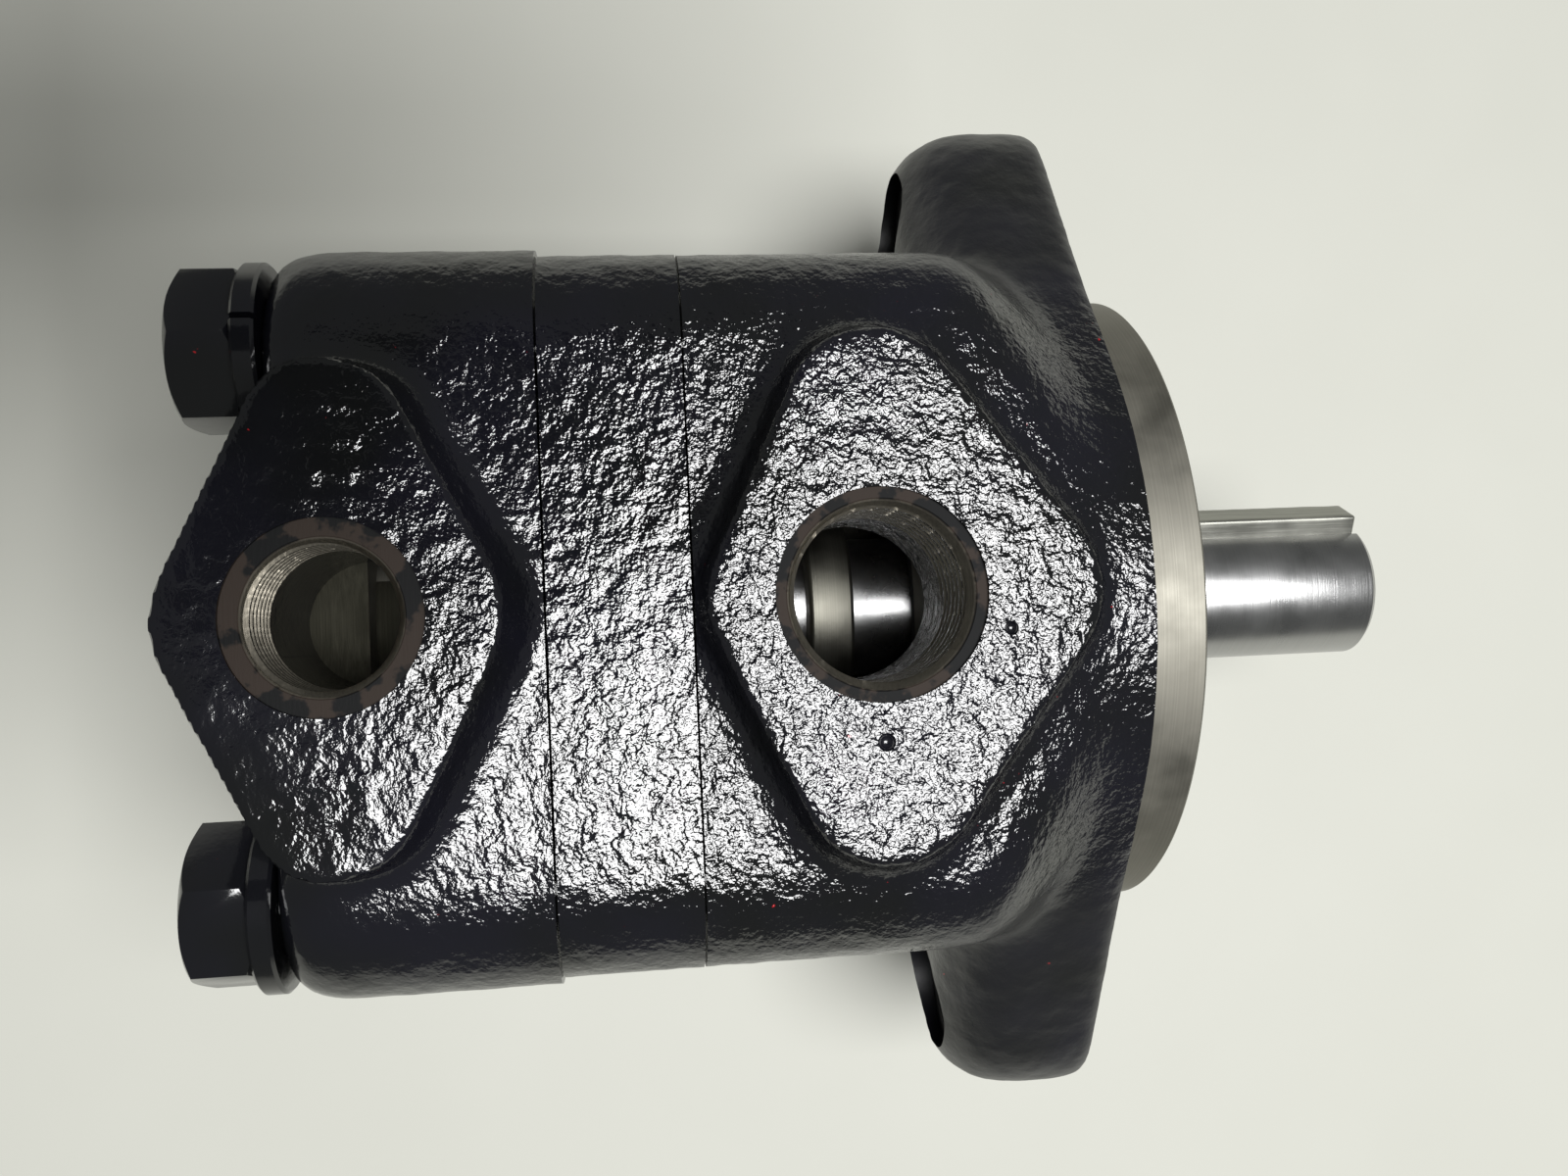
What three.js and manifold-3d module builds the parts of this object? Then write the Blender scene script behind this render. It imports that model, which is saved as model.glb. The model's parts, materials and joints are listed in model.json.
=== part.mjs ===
// Internal gear (gerotor) pump with a two-bolt flange, in millimetres.
//
// The pump is drawn round its own shaft axis: X runs along the shaft and is zero on the mounting
// face, the ears of the flange point along Y and both ports face +Z. The last lines move the whole
// pump so that the origin is at the bottom centre of its box, resting on Z = 0.

import * as THREE from 'three';
import { mergeVertices } from 'three/addons/utils/BufferGeometryUtils.js';
import Module from 'manifold-3d';

const wasm = await Module();
wasm.setup();

// ---------------------------------------------------------------- driving dimensions

const GAP = 0.3;                 // room left between faces that touch
const TURN = Math.PI * 2;

// Mounting flange: SAE A, two bolts
const PILOT_R = 41.275;
const PILOT_LENGTH = 6.2;
const FLANGE_R = 42;             // round middle of the flange
const EAR_SPAN = 106.4;          // between the two bolt holes
const EAR_R = 13.5;
const EAR_HOLE_R = 5.55;
const FLANGE_THICK = 20;
const FLANGE_ROUND = 8;          // rounding of the flange's rear edge
const EAR_SPOT_R = 8.3;          // counterbore behind each ear
const EAR_SPOT_X = -17;

// The stack of body, ring and cover: squares with round corners
const BODY_HALF = 41.2;
const RING_HALF = 41.2;
const COVER_HALF = 42;
const CORNER_R = 12.5;
const NECK_R = 41.6;             // round neck between the square body and the flange
const NECK_X = -24;
const BARREL_END_X = -9;         // where the square body has melted into the flange
const BODY_SEAM_X = -51.8;       // between body and ring
const COVER_SEAM_X = -67.6;      // between ring and cover
const COVER_REAR_X = -96.7;
const COVER_EDGE = 1;            // bevel of the cover's rear and front edges
const HUB_R = 21;                // round boss on the back of the cover
const HUB_REAR_X = -103.5;

// Cover bolts: 7/16 inch hex with split washers
const BOLT_PLACE = 30.7;         // Y and Z distance of each bolt from the shaft axis
const BOLT_R = 5.45;
const BOLT_CHAMFER = 1.2;
const BOLT_HOLE_R = 6;
const BOLT_TIP_X = -26;
const BOLT_HOLE_END_X = -23.5;
const HEAD_FLATS = 16.4;
const HEAD_HEIGHT = 7;
const HEAD_TURNS = [0.49, 0.19, 0.82, 0.65];  // from +Y to a corner of each hex head, in radians
const SPOT_FACE_R = 11;          // room for washer and head behind the cover
const WASHER_R = 9.9;
const WASHER_BORE_R = 5.8;
const WASHER_THICK = 2.6;
const WASHER_SPLIT = 0.8;        // width of the slit
const SLIT_TURNS = [-5, 130, 210, 75];        // where each washer's slit points, in degrees

// Ports, both on the same flat level
const PORT_FACE_Z = 47;
const INLET_X = -32;
const INLET_R = 9.32;            // G 1/2 core
const INLET_RIM_R = 11.5;
const INLET_FLOOR_Z = 18.5;
const RIM_DEPTH = 1;             // depth of the machined rim round a port
const OUTLET_X = -89.5;
const OUTLET_R = 7.48;           // G 3/8 core
const OUTLET_RIM_R = 10.2;
const OUTLET_FLOOR_Z = 19;
const PAD_EDGE = 2;              // rounding of a port pad's top edge
// each pad is a diamond: reach to the left, right and along Y, then the radii of its corners
const INLET_PAD = [18.5, 24, 28.5, 9, 9];
const OUTLET_PAD = [16.5, 16.5, 26.5, 7, 10];
const OUTLET_PAD_X = -89.9;

// Shaft and its keys
const SHAFT_R = 9.525;
const SHAFT_END_X = 45.5;
const SHAFT_REAR_X = -91;
const SHAFT_CHAMFER = 0.9;
const SHOULDER_R = 12;           // the bearing's inner race stands against it
const SHOULDER_WIDTH = 0.9;
const CLIP_GROOVE_R = 9;
const CLIP_GROOVE_WIDTH = 1.8;
const KEY_WIDTH = 4.76;
const KEY_TOP_R = 11.86;
const KEY_ROOT_R = 7.1;
const KEY_START_X = 18;
const KEY_END_X = 44;
const KEY_TURN = 1.12;           // how far the key is turned round the shaft, in radians from +Z
const ROTOR_KEY = [14, 4.6, 4.2];  // length, width and height
const COLLAR_R = 14;
const COLLAR_CHAMFER = 0.5;
const COLLAR_X = [-35.4, -29.6];

// Front ball bearing: 20 x 47 x 14
const BEARING_X = [-12.8, 1.2];
const BEARING_BORE_R = 10;
const BEARING_OUTER_R = 23.5;
const BALL_COUNT = 8;
const BALL_R = 3.97;
const BALL_CIRCLE_R = 16.75;
const GROOVE_R = 4.2;
const GROOVE_HALF_ANGLE = 1.02;  // how far the ball groove wraps round the ball, in radians
const CAGE_HALF = 5.3;
const CAGE_WALL = 1.4;

// Shaft seal
const SEAL_X = [-22.2, -14.6];
const SEAL_OUTER_R = 17.5;
const SEAL_WALL = 1.2;
const SEAL_FLANGE = 4.5;         // width of the case's front flange
const SPRING_R = 14.1;
const SPRING_WIRE_R = 0.8;

// Snap rings
const CLIP_THICK = 1.6;
const CLIP_DEPTH = 1.4;          // how far a ring reaches into its groove
const LUG_R = 2;
const LUG_LEAN = 0.12;           // angle between a lug and the end of its ring, in radians

// Inside of the body and cover
const CAVITY_X = [-41, -22.5];
const CAVITY_R = 24.5;
const BUSHING_R = 12;
const BUSHING_BORE_R = 9.75;
const BODY_BUSHING_X = [-51.3, -41.5];
const COVER_BUSHING_X = [-88, -68.1];
const REAR_POCKET_X = -92.5;     // room behind the end of the shaft
const KIDNEY_END_X = -90;
const KIDNEY_R = [14.5, 20.5];
const KIDNEY_HALF_ANGLE = 1.15;

// Rotors: six lobes inside seven
const INNER_LOBES = 6;
const OUTER_LOBES = 7;
const OFFSET = 2.5;              // between the two rotor centres
const LOBE_CIRCLE_R = 24;
const LOBE_R = 8;
const ROOT_R = 21.3;
const ROTOR_OUTER_R = 28;
const ROTOR_PLAY = 0.15;
const ROTOR_X = [-67.3, -52.1];

// Dowels and O-rings
const DOWEL_R = 2;
const DOWEL_PLACE = [36.4, 12];  // Y and Z of the first; the second is opposite
const DOWEL_REACH = 6;           // into body and into cover
const O_RING_R = 33.4;
const O_RING_CORD_R = 0.95;
const GROOVE_DEPTH = 2.1;

// ---------------------------------------------------------------- solids

/** Makes a closed, merged solid from any closed three.js geometry. */
function solid(geometry) {
  const bare = geometry.index ? geometry.toNonIndexed() : geometry.clone();
  bare.deleteAttribute('normal');
  bare.deleteAttribute('uv');
  const merged = mergeVertices(bare, 1e-4);
  return new wasm.Manifold(new wasm.Mesh({
    numProp: 3,
    vertProperties: new Float32Array(merged.attributes.position.array),
    triVerts: new Uint32Array(merged.index.array),
  }));
}

/** Turns a solid back into a three.js geometry. */
function geometryOf(body) {
  const mesh = body.getMesh();
  const geometry = new THREE.BufferGeometry();
  geometry.setAttribute('position', new THREE.BufferAttribute(mesh.vertProperties, 3));
  geometry.setIndex(new THREE.BufferAttribute(mesh.triVerts, 1));
  const flat = geometry.toNonIndexed();
  flat.computeVertexNormals();
  return flat;
}

function join(...bodies) {
  return bodies.reduce((whole, body) => whole.add(body));
}

function cut(body, ...tools) {
  return tools.reduce((rest, tool) => rest.subtract(tool), body);
}

/** Extrudes an outline drawn in (Y, Z) along X, from x0 to x1. */
function alongX(shape, x0, x1, options = {}) {
  const bevel = options.bevelEnabled ? options.bevelThickness : 0;
  const geometry = new THREE.ExtrudeGeometry(shape, {
    depth: x1 - x0 - 2 * bevel, bevelEnabled: false, curveSegments: 8, ...options,
  });
  geometry.translate(0, 0, x0 + bevel);
  // local X, Y, Z become Y, Z, X
  geometry.applyMatrix4(new THREE.Matrix4().set(0, 0, 1, 0, 1, 0, 0, 0, 0, 1, 0, 0, 0, 0, 0, 1));
  return solid(geometry);
}

/** Extrudes an outline drawn in (X, Y) upwards, from z0 to z1. */
function upwards(shape, z0, z1, options = {}) {
  const bevel = options.bevelEnabled ? options.bevelThickness : 0;
  const geometry = new THREE.ExtrudeGeometry(shape, {
    depth: z1 - z0 - 2 * bevel, bevelEnabled: false, curveSegments: 8, ...options,
  });
  geometry.translate(0, 0, z0 + bevel);
  return solid(geometry);
}

/** A round bar about the X axis, or about a line parallel to it. */
function barX(radius, x0, x1, y = 0, z = 0, sides = 24) {
  const geometry = new THREE.CylinderGeometry(radius, radius, x1 - x0, sides);
  geometry.rotateZ(-Math.PI / 2);
  geometry.translate((x0 + x1) / 2, y, z);
  return solid(geometry);
}

/** A round bar standing along Z. */
function barZ(radius, z0, z1, x, y = 0, sides = 28) {
  const geometry = new THREE.CylinderGeometry(radius, radius, z1 - z0, sides);
  geometry.rotateX(Math.PI / 2);
  geometry.translate(x, y, (z0 + z1) / 2);
  return solid(geometry);
}

function block(x0, x1, y0, y1, z0, z1) {
  const geometry = new THREE.BoxGeometry(x1 - x0, y1 - y0, z1 - z0);
  geometry.translate((x0 + x1) / 2, (y0 + y1) / 2, (z0 + z1) / 2);
  return solid(geometry);
}

/** Turns a closed or axis-to-axis profile of [radius, x] points about the X axis. */
function turned(profile, sides = 32) {
  const points = profile.map(([radius, x]) => new THREE.Vector2(radius, x));
  const geometry = new THREE.LatheGeometry(points, sides);
  geometry.rotateZ(-Math.PI / 2);
  const body = solid(geometry);
  return body.volume() < 0 ? solid(flipped(geometry)) : body;
}

/** The same geometry with every face turned over. */
function flipped(geometry) {
  const copy = geometry.clone();
  const index = copy.index.array;
  for (let i = 0; i < index.length; i += 3) {
    [index[i], index[i + 1]] = [index[i + 1], index[i]];
  }
  return copy;
}

/** A plain sleeve about the X axis. */
function sleeve(inner, outer, x0, x1, sides = 32) {
  return cut(barX(outer, x0, x1, 0, 0, sides), barX(inner, x0 - 1, x1 + 1, 0, 0, sides));
}

// ---------------------------------------------------------------- outlines

function roundSquare(half, corner) {
  const shape = new THREE.Shape();
  const c = half - corner;
  shape.absarc(c, c, corner, 0, TURN / 4);
  shape.absarc(-c, c, corner, TURN / 4, TURN / 2);
  shape.absarc(-c, -c, corner, TURN / 2, 3 * TURN / 4);
  shape.absarc(c, -c, corner, 3 * TURN / 4, TURN);
  shape.closePath();
  return shape;
}

/** The flange: a round middle whose tangents run out to two round ears on the first axis. */
function flangeOutline() {
  const reach = EAR_SPAN / 2;
  const lean = Math.acos((FLANGE_R - EAR_R) / reach);
  const shape = new THREE.Shape();
  shape.absarc(reach, 0, EAR_R, -lean, lean);
  shape.absarc(0, 0, FLANGE_R, lean, TURN / 2 - lean);
  shape.absarc(-reach, 0, EAR_R, TURN / 2 - lean, TURN / 2 + lean);
  shape.absarc(0, 0, FLANGE_R, TURN / 2 + lean, TURN - lean);
  shape.closePath();
  return shape;
}

/** A diamond with four round corners: reaches are measured to the corner tips. */
function diamond(left, right, length, tipR, sideR) {
  const shape = new THREE.Shape();
  const corners = [
    [right - sideR, 0, sideR], [0, length - tipR, tipR],
    [sideR - left, 0, sideR], [0, tipR - length, tipR],
  ];
  corners.forEach(([x, y, r], i) => {
    const angle = ([x0, y0, r0], [x1, y1, r1]) => {
      const dx = x1 - x0;
      const dy = y1 - y0;
      return Math.atan2(dy, dx) - Math.acos((r0 - r1) / Math.hypot(dx, dy));
    };
    const before = corners[(i + 3) % 4];
    const after = corners[(i + 1) % 4];
    const start = angle(before, [x, y, r]);
    let end = angle([x, y, r], after);
    while (end < start) end += TURN;
    shape.absarc(x, y, r, start, end);
  });
  shape.closePath();
  return shape;
}

/** A kidney-shaped slot about the origin, its middle pointing along +Z (side 1) or -Z (side -1). */
function kidney(side) {
  const [inner, outer] = KIDNEY_R;
  const middle = side * TURN / 4;
  const shape = new THREE.Shape();
  shape.absarc(0, 0, outer, middle - KIDNEY_HALF_ANGLE, middle + KIDNEY_HALF_ANGLE);
  shape.absarc(0, 0, inner, middle + KIDNEY_HALF_ANGLE, middle - KIDNEY_HALF_ANGLE, true);
  shape.closePath();
  return shape;
}

// ---------------------------------------------------------------- features shared by pieces

const boltPlaces = [[1, 1], [-1, 1], [-1, -1], [1, -1]].map(([y, z]) => [y * BOLT_PLACE, z * BOLT_PLACE]);
const dowelPlaces = [1, -1].map((side) => DOWEL_PLACE.map((value) => value * side));

function boltHoles(x0, x1) {
  return boltPlaces.map(([y, z]) => barX(BOLT_HOLE_R, x0, x1, y, z, 16));
}

function dowelHoles(x0, x1) {
  return dowelPlaces.map(([y, z]) => barX(DOWEL_R + GAP, x0, x1, y, z, 12));
}

/** The square groove that holds an O-ring, cut into the face at x = face towards `into` (-1 or 1). */
function ringGroove(face, into) {
  const [x0, x1] = [face - into, face + into * GROOVE_DEPTH].sort((a, b) => a - b);
  const room = O_RING_CORD_R + 2 * GAP;
  return sleeve(O_RING_R - room, O_RING_R + room, x0, x1);
}

/** A threaded port: the core bore with a shallow machined rim round its mouth. */
function portBore(x, coreR, rimR, floorZ) {
  return join(
    barZ(coreR, floorZ, PORT_FACE_Z + 1, x),
    barZ(rimR, PORT_FACE_Z - RIM_DEPTH, PORT_FACE_Z + 1, x),
  );
}

/** ExtrudeGeometry options that round both ends of a solid inwards. */
function softEdge(thick, reach, segments) {
  return {
    bevelEnabled: true,
    bevelThickness: thick,
    bevelSize: reach,
    bevelOffset: -reach,
    bevelSegments: segments,
  };
}

function portPad(x, sizes, rootZ) {
  return upwards(diamond(...sizes), rootZ, PORT_FACE_Z, softEdge(PAD_EDGE, PAD_EDGE, 2)).translate(x, 0, 0);
}

// ---------------------------------------------------------------- castings

function inletBody() {
  const seam = BODY_SEAM_X + GAP / 2;
  const barrel = alongX(roundSquare(BODY_HALF, CORNER_R), seam - 10, BARREL_END_X, softEdge(7, 5, 2))
    .intersect(block(seam, 0, -FLANGE_R * 2, FLANGE_R * 2, -FLANGE_R * 2, FLANGE_R * 2));
  const soft = softEdge(FLANGE_ROUND, FLANGE_ROUND, 3);
  const flange = alongX(flangeOutline(), -FLANGE_THICK, FLANGE_ROUND * 2, soft)
    .intersect(block(-FLANGE_THICK - 1, 0, -EAR_SPAN, EAR_SPAN, -EAR_SPAN, EAR_SPAN));
  const neck = barX(NECK_R, NECK_X, -1, 0, 0, 48);
  const pilot = barX(PILOT_R, -1, PILOT_LENGTH, 0, 0, 64);
  const seatR = BEARING_OUTER_R + GAP;
  const seatX = BEARING_X[0] - GAP;
  const clipX = BEARING_X[1] + GAP;
  const ears = [-1, 1].map((side) => side * EAR_SPAN / 2);
  return cut(
    join(barrel, flange, neck, pilot, portPad(INLET_X, INLET_PAD, 20)),
    barX(seatR, seatX, PILOT_LENGTH + 1, 0, 0, 32),
    barX(BEARING_OUTER_R + CLIP_DEPTH + GAP, clipX - GAP / 2, clipX + CLIP_THICK + GAP, 0, 0, 32),
    barX(SEAL_OUTER_R + GAP, CAVITY_X[1], seatX + 1, 0, 0, 32),
    barX(CAVITY_R, CAVITY_X[0], CAVITY_X[1], 0, 0, 32),
    barX(BUSHING_R + GAP, seam - 1, CAVITY_X[0] + 1, 0, 0, 32),
    alongX(kidney(-1), seam - 1, CAVITY_X[0] + 1),
    portBore(INLET_X, INLET_R, INLET_RIM_R, INLET_FLOOR_Z),
    ringGroove(seam, 1),
    ...ears.map((y) => barX(EAR_HOLE_R, -FLANGE_THICK - 1, 1, y)),
    ...ears.map((y) => barX(EAR_SPOT_R, -FLANGE_THICK - 1, EAR_SPOT_X, y)),
    ...boltHoles(seam - 1, BOLT_HOLE_END_X),
    ...dowelHoles(seam - 1, seam + DOWEL_REACH + GAP),
  );
}

function gerotorRing() {
  const x0 = COVER_SEAM_X + GAP / 2;
  const x1 = BODY_SEAM_X - GAP / 2;
  return cut(
    alongX(roundSquare(RING_HALF, CORNER_R), x0, x1),
    barX(ROTOR_OUTER_R + GAP, x0 - 1, x1 + 1, -OFFSET, 0, 56),
    ...boltHoles(x0 - 1, x1 + 1),
    ...dowelHoles(x0 - 1, x1 + 1),
  );
}

function outletCover() {
  const face = COVER_SEAM_X - GAP / 2;
  const outline = roundSquare(COVER_HALF, CORNER_R);
  const barrel = alongX(outline, COVER_REAR_X, face, softEdge(COVER_EDGE, COVER_EDGE, 1));
  const hub = barX(HUB_R, HUB_REAR_X, COVER_REAR_X + 1, 0, 0, 40);
  // the wall under the rear half of the pad, down to the hub
  const rib = block(HUB_REAR_X, COVER_REAR_X + 1, -HUB_R / 2, HUB_R / 2, 0, OUTLET_PAD[2]);
  return cut(
    join(barrel, hub, rib, portPad(OUTLET_PAD_X, OUTLET_PAD, 24)),
    barX(BUSHING_R + GAP, COVER_BUSHING_X[0] - GAP, face + 1, 0, 0, 32),
    barX(SHAFT_R + 2 * GAP, REAR_POCKET_X, COVER_BUSHING_X[0] + 1, 0, 0, 32),
    alongX(kidney(1), KIDNEY_END_X, face + 1),
    portBore(OUTLET_X, OUTLET_R, OUTLET_RIM_R, OUTLET_FLOOR_Z),
    ringGroove(face, -1),
    ...boltHoles(COVER_REAR_X - 1, face + 1),
    ...boltPlaces.map(([y, z]) => barX(SPOT_FACE_R, HUB_REAR_X * 2, COVER_REAR_X, y, z)),
    ...dowelHoles(face - DOWEL_REACH - GAP, face + 1),
  );
}

// ---------------------------------------------------------------- fasteners

function coverBolt(turn) {
  const seat = COVER_REAR_X - GAP - WASHER_THICK - GAP;
  const top = seat - HEAD_HEIGHT;
  const across = HEAD_FLATS / Math.sqrt(3);
  const hex = new THREE.CylinderGeometry(across, across, HEAD_HEIGHT, 6);
  hex.rotateZ(-Math.PI / 2);
  hex.rotateX(turn - TURN / 12);
  hex.translate(seat - HEAD_HEIGHT / 2, 0, 0);
  // a cone takes the corners off the rear of the head
  const crown = turned([
    [0, top], [HEAD_FLATS / 2, top], [across + GAP, top + BOLT_CHAMFER],
    [across + GAP, seat + 1], [0, seat + 1],
  ], 24);
  const shank = turned([
    [0, seat - 1], [BOLT_R, seat - 1], [BOLT_R, BOLT_TIP_X - BOLT_CHAMFER],
    [BOLT_R - BOLT_CHAMFER, BOLT_TIP_X], [0, BOLT_TIP_X],
  ], 16);
  return join(solid(hex).intersect(crown), shank);
}

function lockWasher() {
  const x1 = COVER_REAR_X - GAP;
  const ring = sleeve(WASHER_BORE_R, WASHER_R, x1 - WASHER_THICK, x1, 28);
  const slit = block(x1 - WASHER_THICK - 1, x1 + 1, -WASHER_SPLIT / 2, WASHER_SPLIT / 2, 0, WASHER_R + 1);
  return cut(ring, slit);
}

// ---------------------------------------------------------------- shaft and keys

function keyway(x0, x1) {
  const half = KEY_WIDTH / 2 + GAP / 2;
  return block(x0, x1, -half, half, KEY_ROOT_R - GAP / 2, SHAFT_R + 3);
}

function driveShaft() {
  const seatR = BEARING_BORE_R - GAP;
  const seatX = BEARING_X[0] - GAP;
  const grooveX = BEARING_X[1] + GAP;
  const bar = turned([
    [0, SHAFT_REAR_X], [SHAFT_R - SHAFT_CHAMFER, SHAFT_REAR_X], [SHAFT_R, SHAFT_REAR_X + SHAFT_CHAMFER],
    [SHAFT_R, seatX - SHOULDER_WIDTH], [SHOULDER_R, seatX - SHOULDER_WIDTH], [SHOULDER_R, seatX],
    [seatR, seatX], [seatR, grooveX], [CLIP_GROOVE_R, grooveX], [CLIP_GROOVE_R, grooveX + CLIP_GROOVE_WIDTH],
    [SHAFT_R, grooveX + CLIP_GROOVE_WIDTH], [SHAFT_R, SHAFT_END_X - SHAFT_CHAMFER],
    [SHAFT_R - SHAFT_CHAMFER, SHAFT_END_X], [0, SHAFT_END_X],
  ], 40);
  const driveKeyway = keyway(KEY_START_X - GAP, SHAFT_END_X + 1).rotate([-KEY_TURN * 360 / TURN, 0, 0]);
  const rotorKeyway = keyway(ROTOR_X[0], ROTOR_X[1]).rotate([90, 0, 0]);
  return cut(bar, driveKeyway, rotorKeyway);
}

/** A key standing on its keyway's floor, turned round the shaft from +Z by an angle in radians. */
function keyBar(x0, x1, width, z0, z1, turn) {
  const key = new THREE.BoxGeometry(x1 - x0, width, z1 - z0);
  key.translate((x0 + x1) / 2, 0, (z0 + z1) / 2);
  key.rotateX(turn);
  return solid(key);
}

function shaftKey() {
  return keyBar(KEY_START_X, KEY_END_X, KEY_WIDTH, KEY_ROOT_R, KEY_TOP_R, -KEY_TURN);
}

function rotorKey() {
  const [length, width, height] = ROTOR_KEY;
  const middle = (ROTOR_X[0] + ROTOR_X[1]) / 2;
  const root = KEY_ROOT_R + GAP / 2;
  return keyBar(middle - length / 2, middle + length / 2, width, root, root + height, TURN / 4);
}

function shaftCollar() {
  const bore = SHAFT_R + GAP;
  const edge = COLLAR_CHAMFER;
  const [x0, x1] = COLLAR_X;
  return turned([
    [bore, x0], [COLLAR_R - edge, x0], [COLLAR_R, x0 + edge], [COLLAR_R, x1 - edge],
    [COLLAR_R - edge, x1], [bore, x1], [bore, x0],
  ], 40);
}

// ---------------------------------------------------------------- rotors

/** The six-lobed profile that rolls inside seven round lobes, drawn in (Y, Z) about the shaft. */
class InnerProfile extends THREE.Curve {
  constructor() {
    super();
    this.arcLengthDivisions = 2400;
  }

  getPoint(t, target = new THREE.Vector2()) {
    const a = t * TURN;
    const b = OUTER_LOBES * a;
    const away = new THREE.Vector2(
      LOBE_CIRCLE_R * Math.cos(a) + OUTER_LOBES * OFFSET * Math.cos(b),
      LOBE_CIRCLE_R * Math.sin(a) + OUTER_LOBES * OFFSET * Math.sin(b),
    ).normalize();
    return target.set(
      LOBE_CIRCLE_R * Math.cos(a) + OFFSET * Math.cos(b),
      LOBE_CIRCLE_R * Math.sin(a) + OFFSET * Math.sin(b),
    ).addScaledVector(away, -(LOBE_R + ROTOR_PLAY));
  }
}

function innerRotor() {
  const outline = new InnerProfile().getSpacedPoints(INNER_LOBES * 12).slice(0, -1)
    .map((p) => new THREE.Vector2(-p.x, -p.y));
  const rotor = alongX(new THREE.Shape(outline), ROTOR_X[0], ROTOR_X[1]);
  const halfSlot = ROTOR_KEY[1] / 2 + GAP;
  const slotTop = KEY_ROOT_R + ROTOR_KEY[2] + 2 * GAP;
  const slot = block(ROTOR_X[0] - 1, ROTOR_X[1] + 1, -halfSlot, halfSlot, 0, slotTop);
  return cut(
    rotor,
    barX(SHAFT_R + GAP, ROTOR_X[0] - 1, ROTOR_X[1] + 1, 0, 0, 32),
    slot.rotate([90, 0, 0]),
  );
}

function outerRotor() {
  const lobes = Array.from({ length: OUTER_LOBES }, (_, i) => {
    const a = TURN / 2 + i * TURN / OUTER_LOBES;
    const [y, z] = [LOBE_CIRCLE_R * Math.cos(a), LOBE_CIRCLE_R * Math.sin(a)];
    return barX(LOBE_R, ROTOR_X[0] - 1, ROTOR_X[1] + 1, y, z, 32);
  });
  const hollow = cut(barX(ROOT_R, ROTOR_X[0] - 1, ROTOR_X[1] + 1, 0, 0, 56), ...lobes);
  return cut(barX(ROTOR_OUTER_R, ROTOR_X[0], ROTOR_X[1], 0, 0, 56), hollow).translate(0, -OFFSET, 0);
}

// ---------------------------------------------------------------- bearing, seal and small rings

const bearingMiddle = (BEARING_X[0] + BEARING_X[1]) / 2;

/** Points of the ball groove on one side of the ball circle: side 1 is the outer race. */
function groovePoints(side) {
  const steps = [1, 0.5, 0, -0.5, -1];
  return steps.map((s) => [
    BALL_CIRCLE_R + side * GROOVE_R * Math.cos(s * GROOVE_HALF_ANGLE),
    bearingMiddle + GROOVE_R * Math.sin(s * GROOVE_HALF_ANGLE),
  ]);
}

function bearingRace(side) {
  const [x0, x1] = BEARING_X;
  const back = side > 0 ? BEARING_OUTER_R : BEARING_BORE_R;
  const land = groovePoints(side)[0][0];
  return turned([
    [back, x0], [land, x0], ...groovePoints(side).reverse(), [land, x1], [back, x1], [back, x0],
  ], 32);
}

function ballPlace(i) {
  const a = (i + 0.5) * TURN / BALL_COUNT;
  return [bearingMiddle, BALL_CIRCLE_R * Math.cos(a), BALL_CIRCLE_R * Math.sin(a)];
}

function bearingCage() {
  const [inner, outer] = [BALL_CIRCLE_R - CAGE_WALL, BALL_CIRCLE_R + CAGE_WALL];
  const ring = sleeve(inner, outer, bearingMiddle - CAGE_HALF, bearingMiddle + CAGE_HALF, 32);
  const pockets = Array.from({ length: BALL_COUNT }, (_, i) => {
    const pocket = new THREE.CylinderGeometry(GROOVE_R, GROOVE_R, 10, 14);
    pocket.translate(0, BALL_CIRCLE_R, 0);
    pocket.rotateX((i + 0.5) * TURN / BALL_COUNT);
    pocket.translate(bearingMiddle, 0, 0);
    return solid(pocket);
  });
  return cut(ring, ...pockets);
}

/** An open ring with two lugs, as a snap ring has. */
function snapRing(inner, outer, x0, x1, lugR, openAngle) {
  const ring = sleeve(inner, outer, x0, x1, 28);
  const lugs = [-1, 1].map((side) => {
    const a = side * (openAngle / 2 + LUG_LEAN);
    return barX(LUG_R, x0, x1, lugR * Math.sin(a), lugR * Math.cos(a), 10);
  });
  const wedge = new THREE.Shape();
  const reach = outer + 2 * LUG_R;
  wedge.moveTo(0, 0);
  wedge.lineTo(reach * Math.sin(openAngle / 2), reach * Math.cos(openAngle / 2));
  wedge.lineTo(-reach * Math.sin(openAngle / 2), reach * Math.cos(openAngle / 2));
  return cut(join(ring, ...lugs), alongX(wedge, x0 - 1, x1 + 1));
}

function sealCase() {
  const [x0, x1] = SEAL_X;
  const inner = SEAL_OUTER_R - SEAL_WALL;
  return turned([
    [SEAL_OUTER_R, x0], [SEAL_OUTER_R, x1], [SEAL_OUTER_R - SEAL_FLANGE, x1],
    [SEAL_OUTER_R - SEAL_FLANGE, x1 - SEAL_WALL], [inner, x1 - SEAL_WALL], [inner, x0], [SEAL_OUTER_R, x0],
  ]);
}

/** The rubber lip: a disc bonded inside the case, with a tail that leans on the shaft. */
function sealLip() {
  const front = SEAL_X[1] - SEAL_WALL - GAP;
  const rim = SEAL_OUTER_R - SEAL_WALL - GAP;
  const tail = SEAL_X[0] + 0.8;
  return turned([
    [rim, front], [rim, front - 1.8], [SHAFT_R + 3, front - 1.8], [SHAFT_R + 3.4, tail],
    [SHAFT_R + 1.2, tail], [SHAFT_R + GAP, tail + 1.6], [SHAFT_R + 1, front - 1.1], [SHAFT_R + 1, front],
    [rim, front],
  ]);
}

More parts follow.
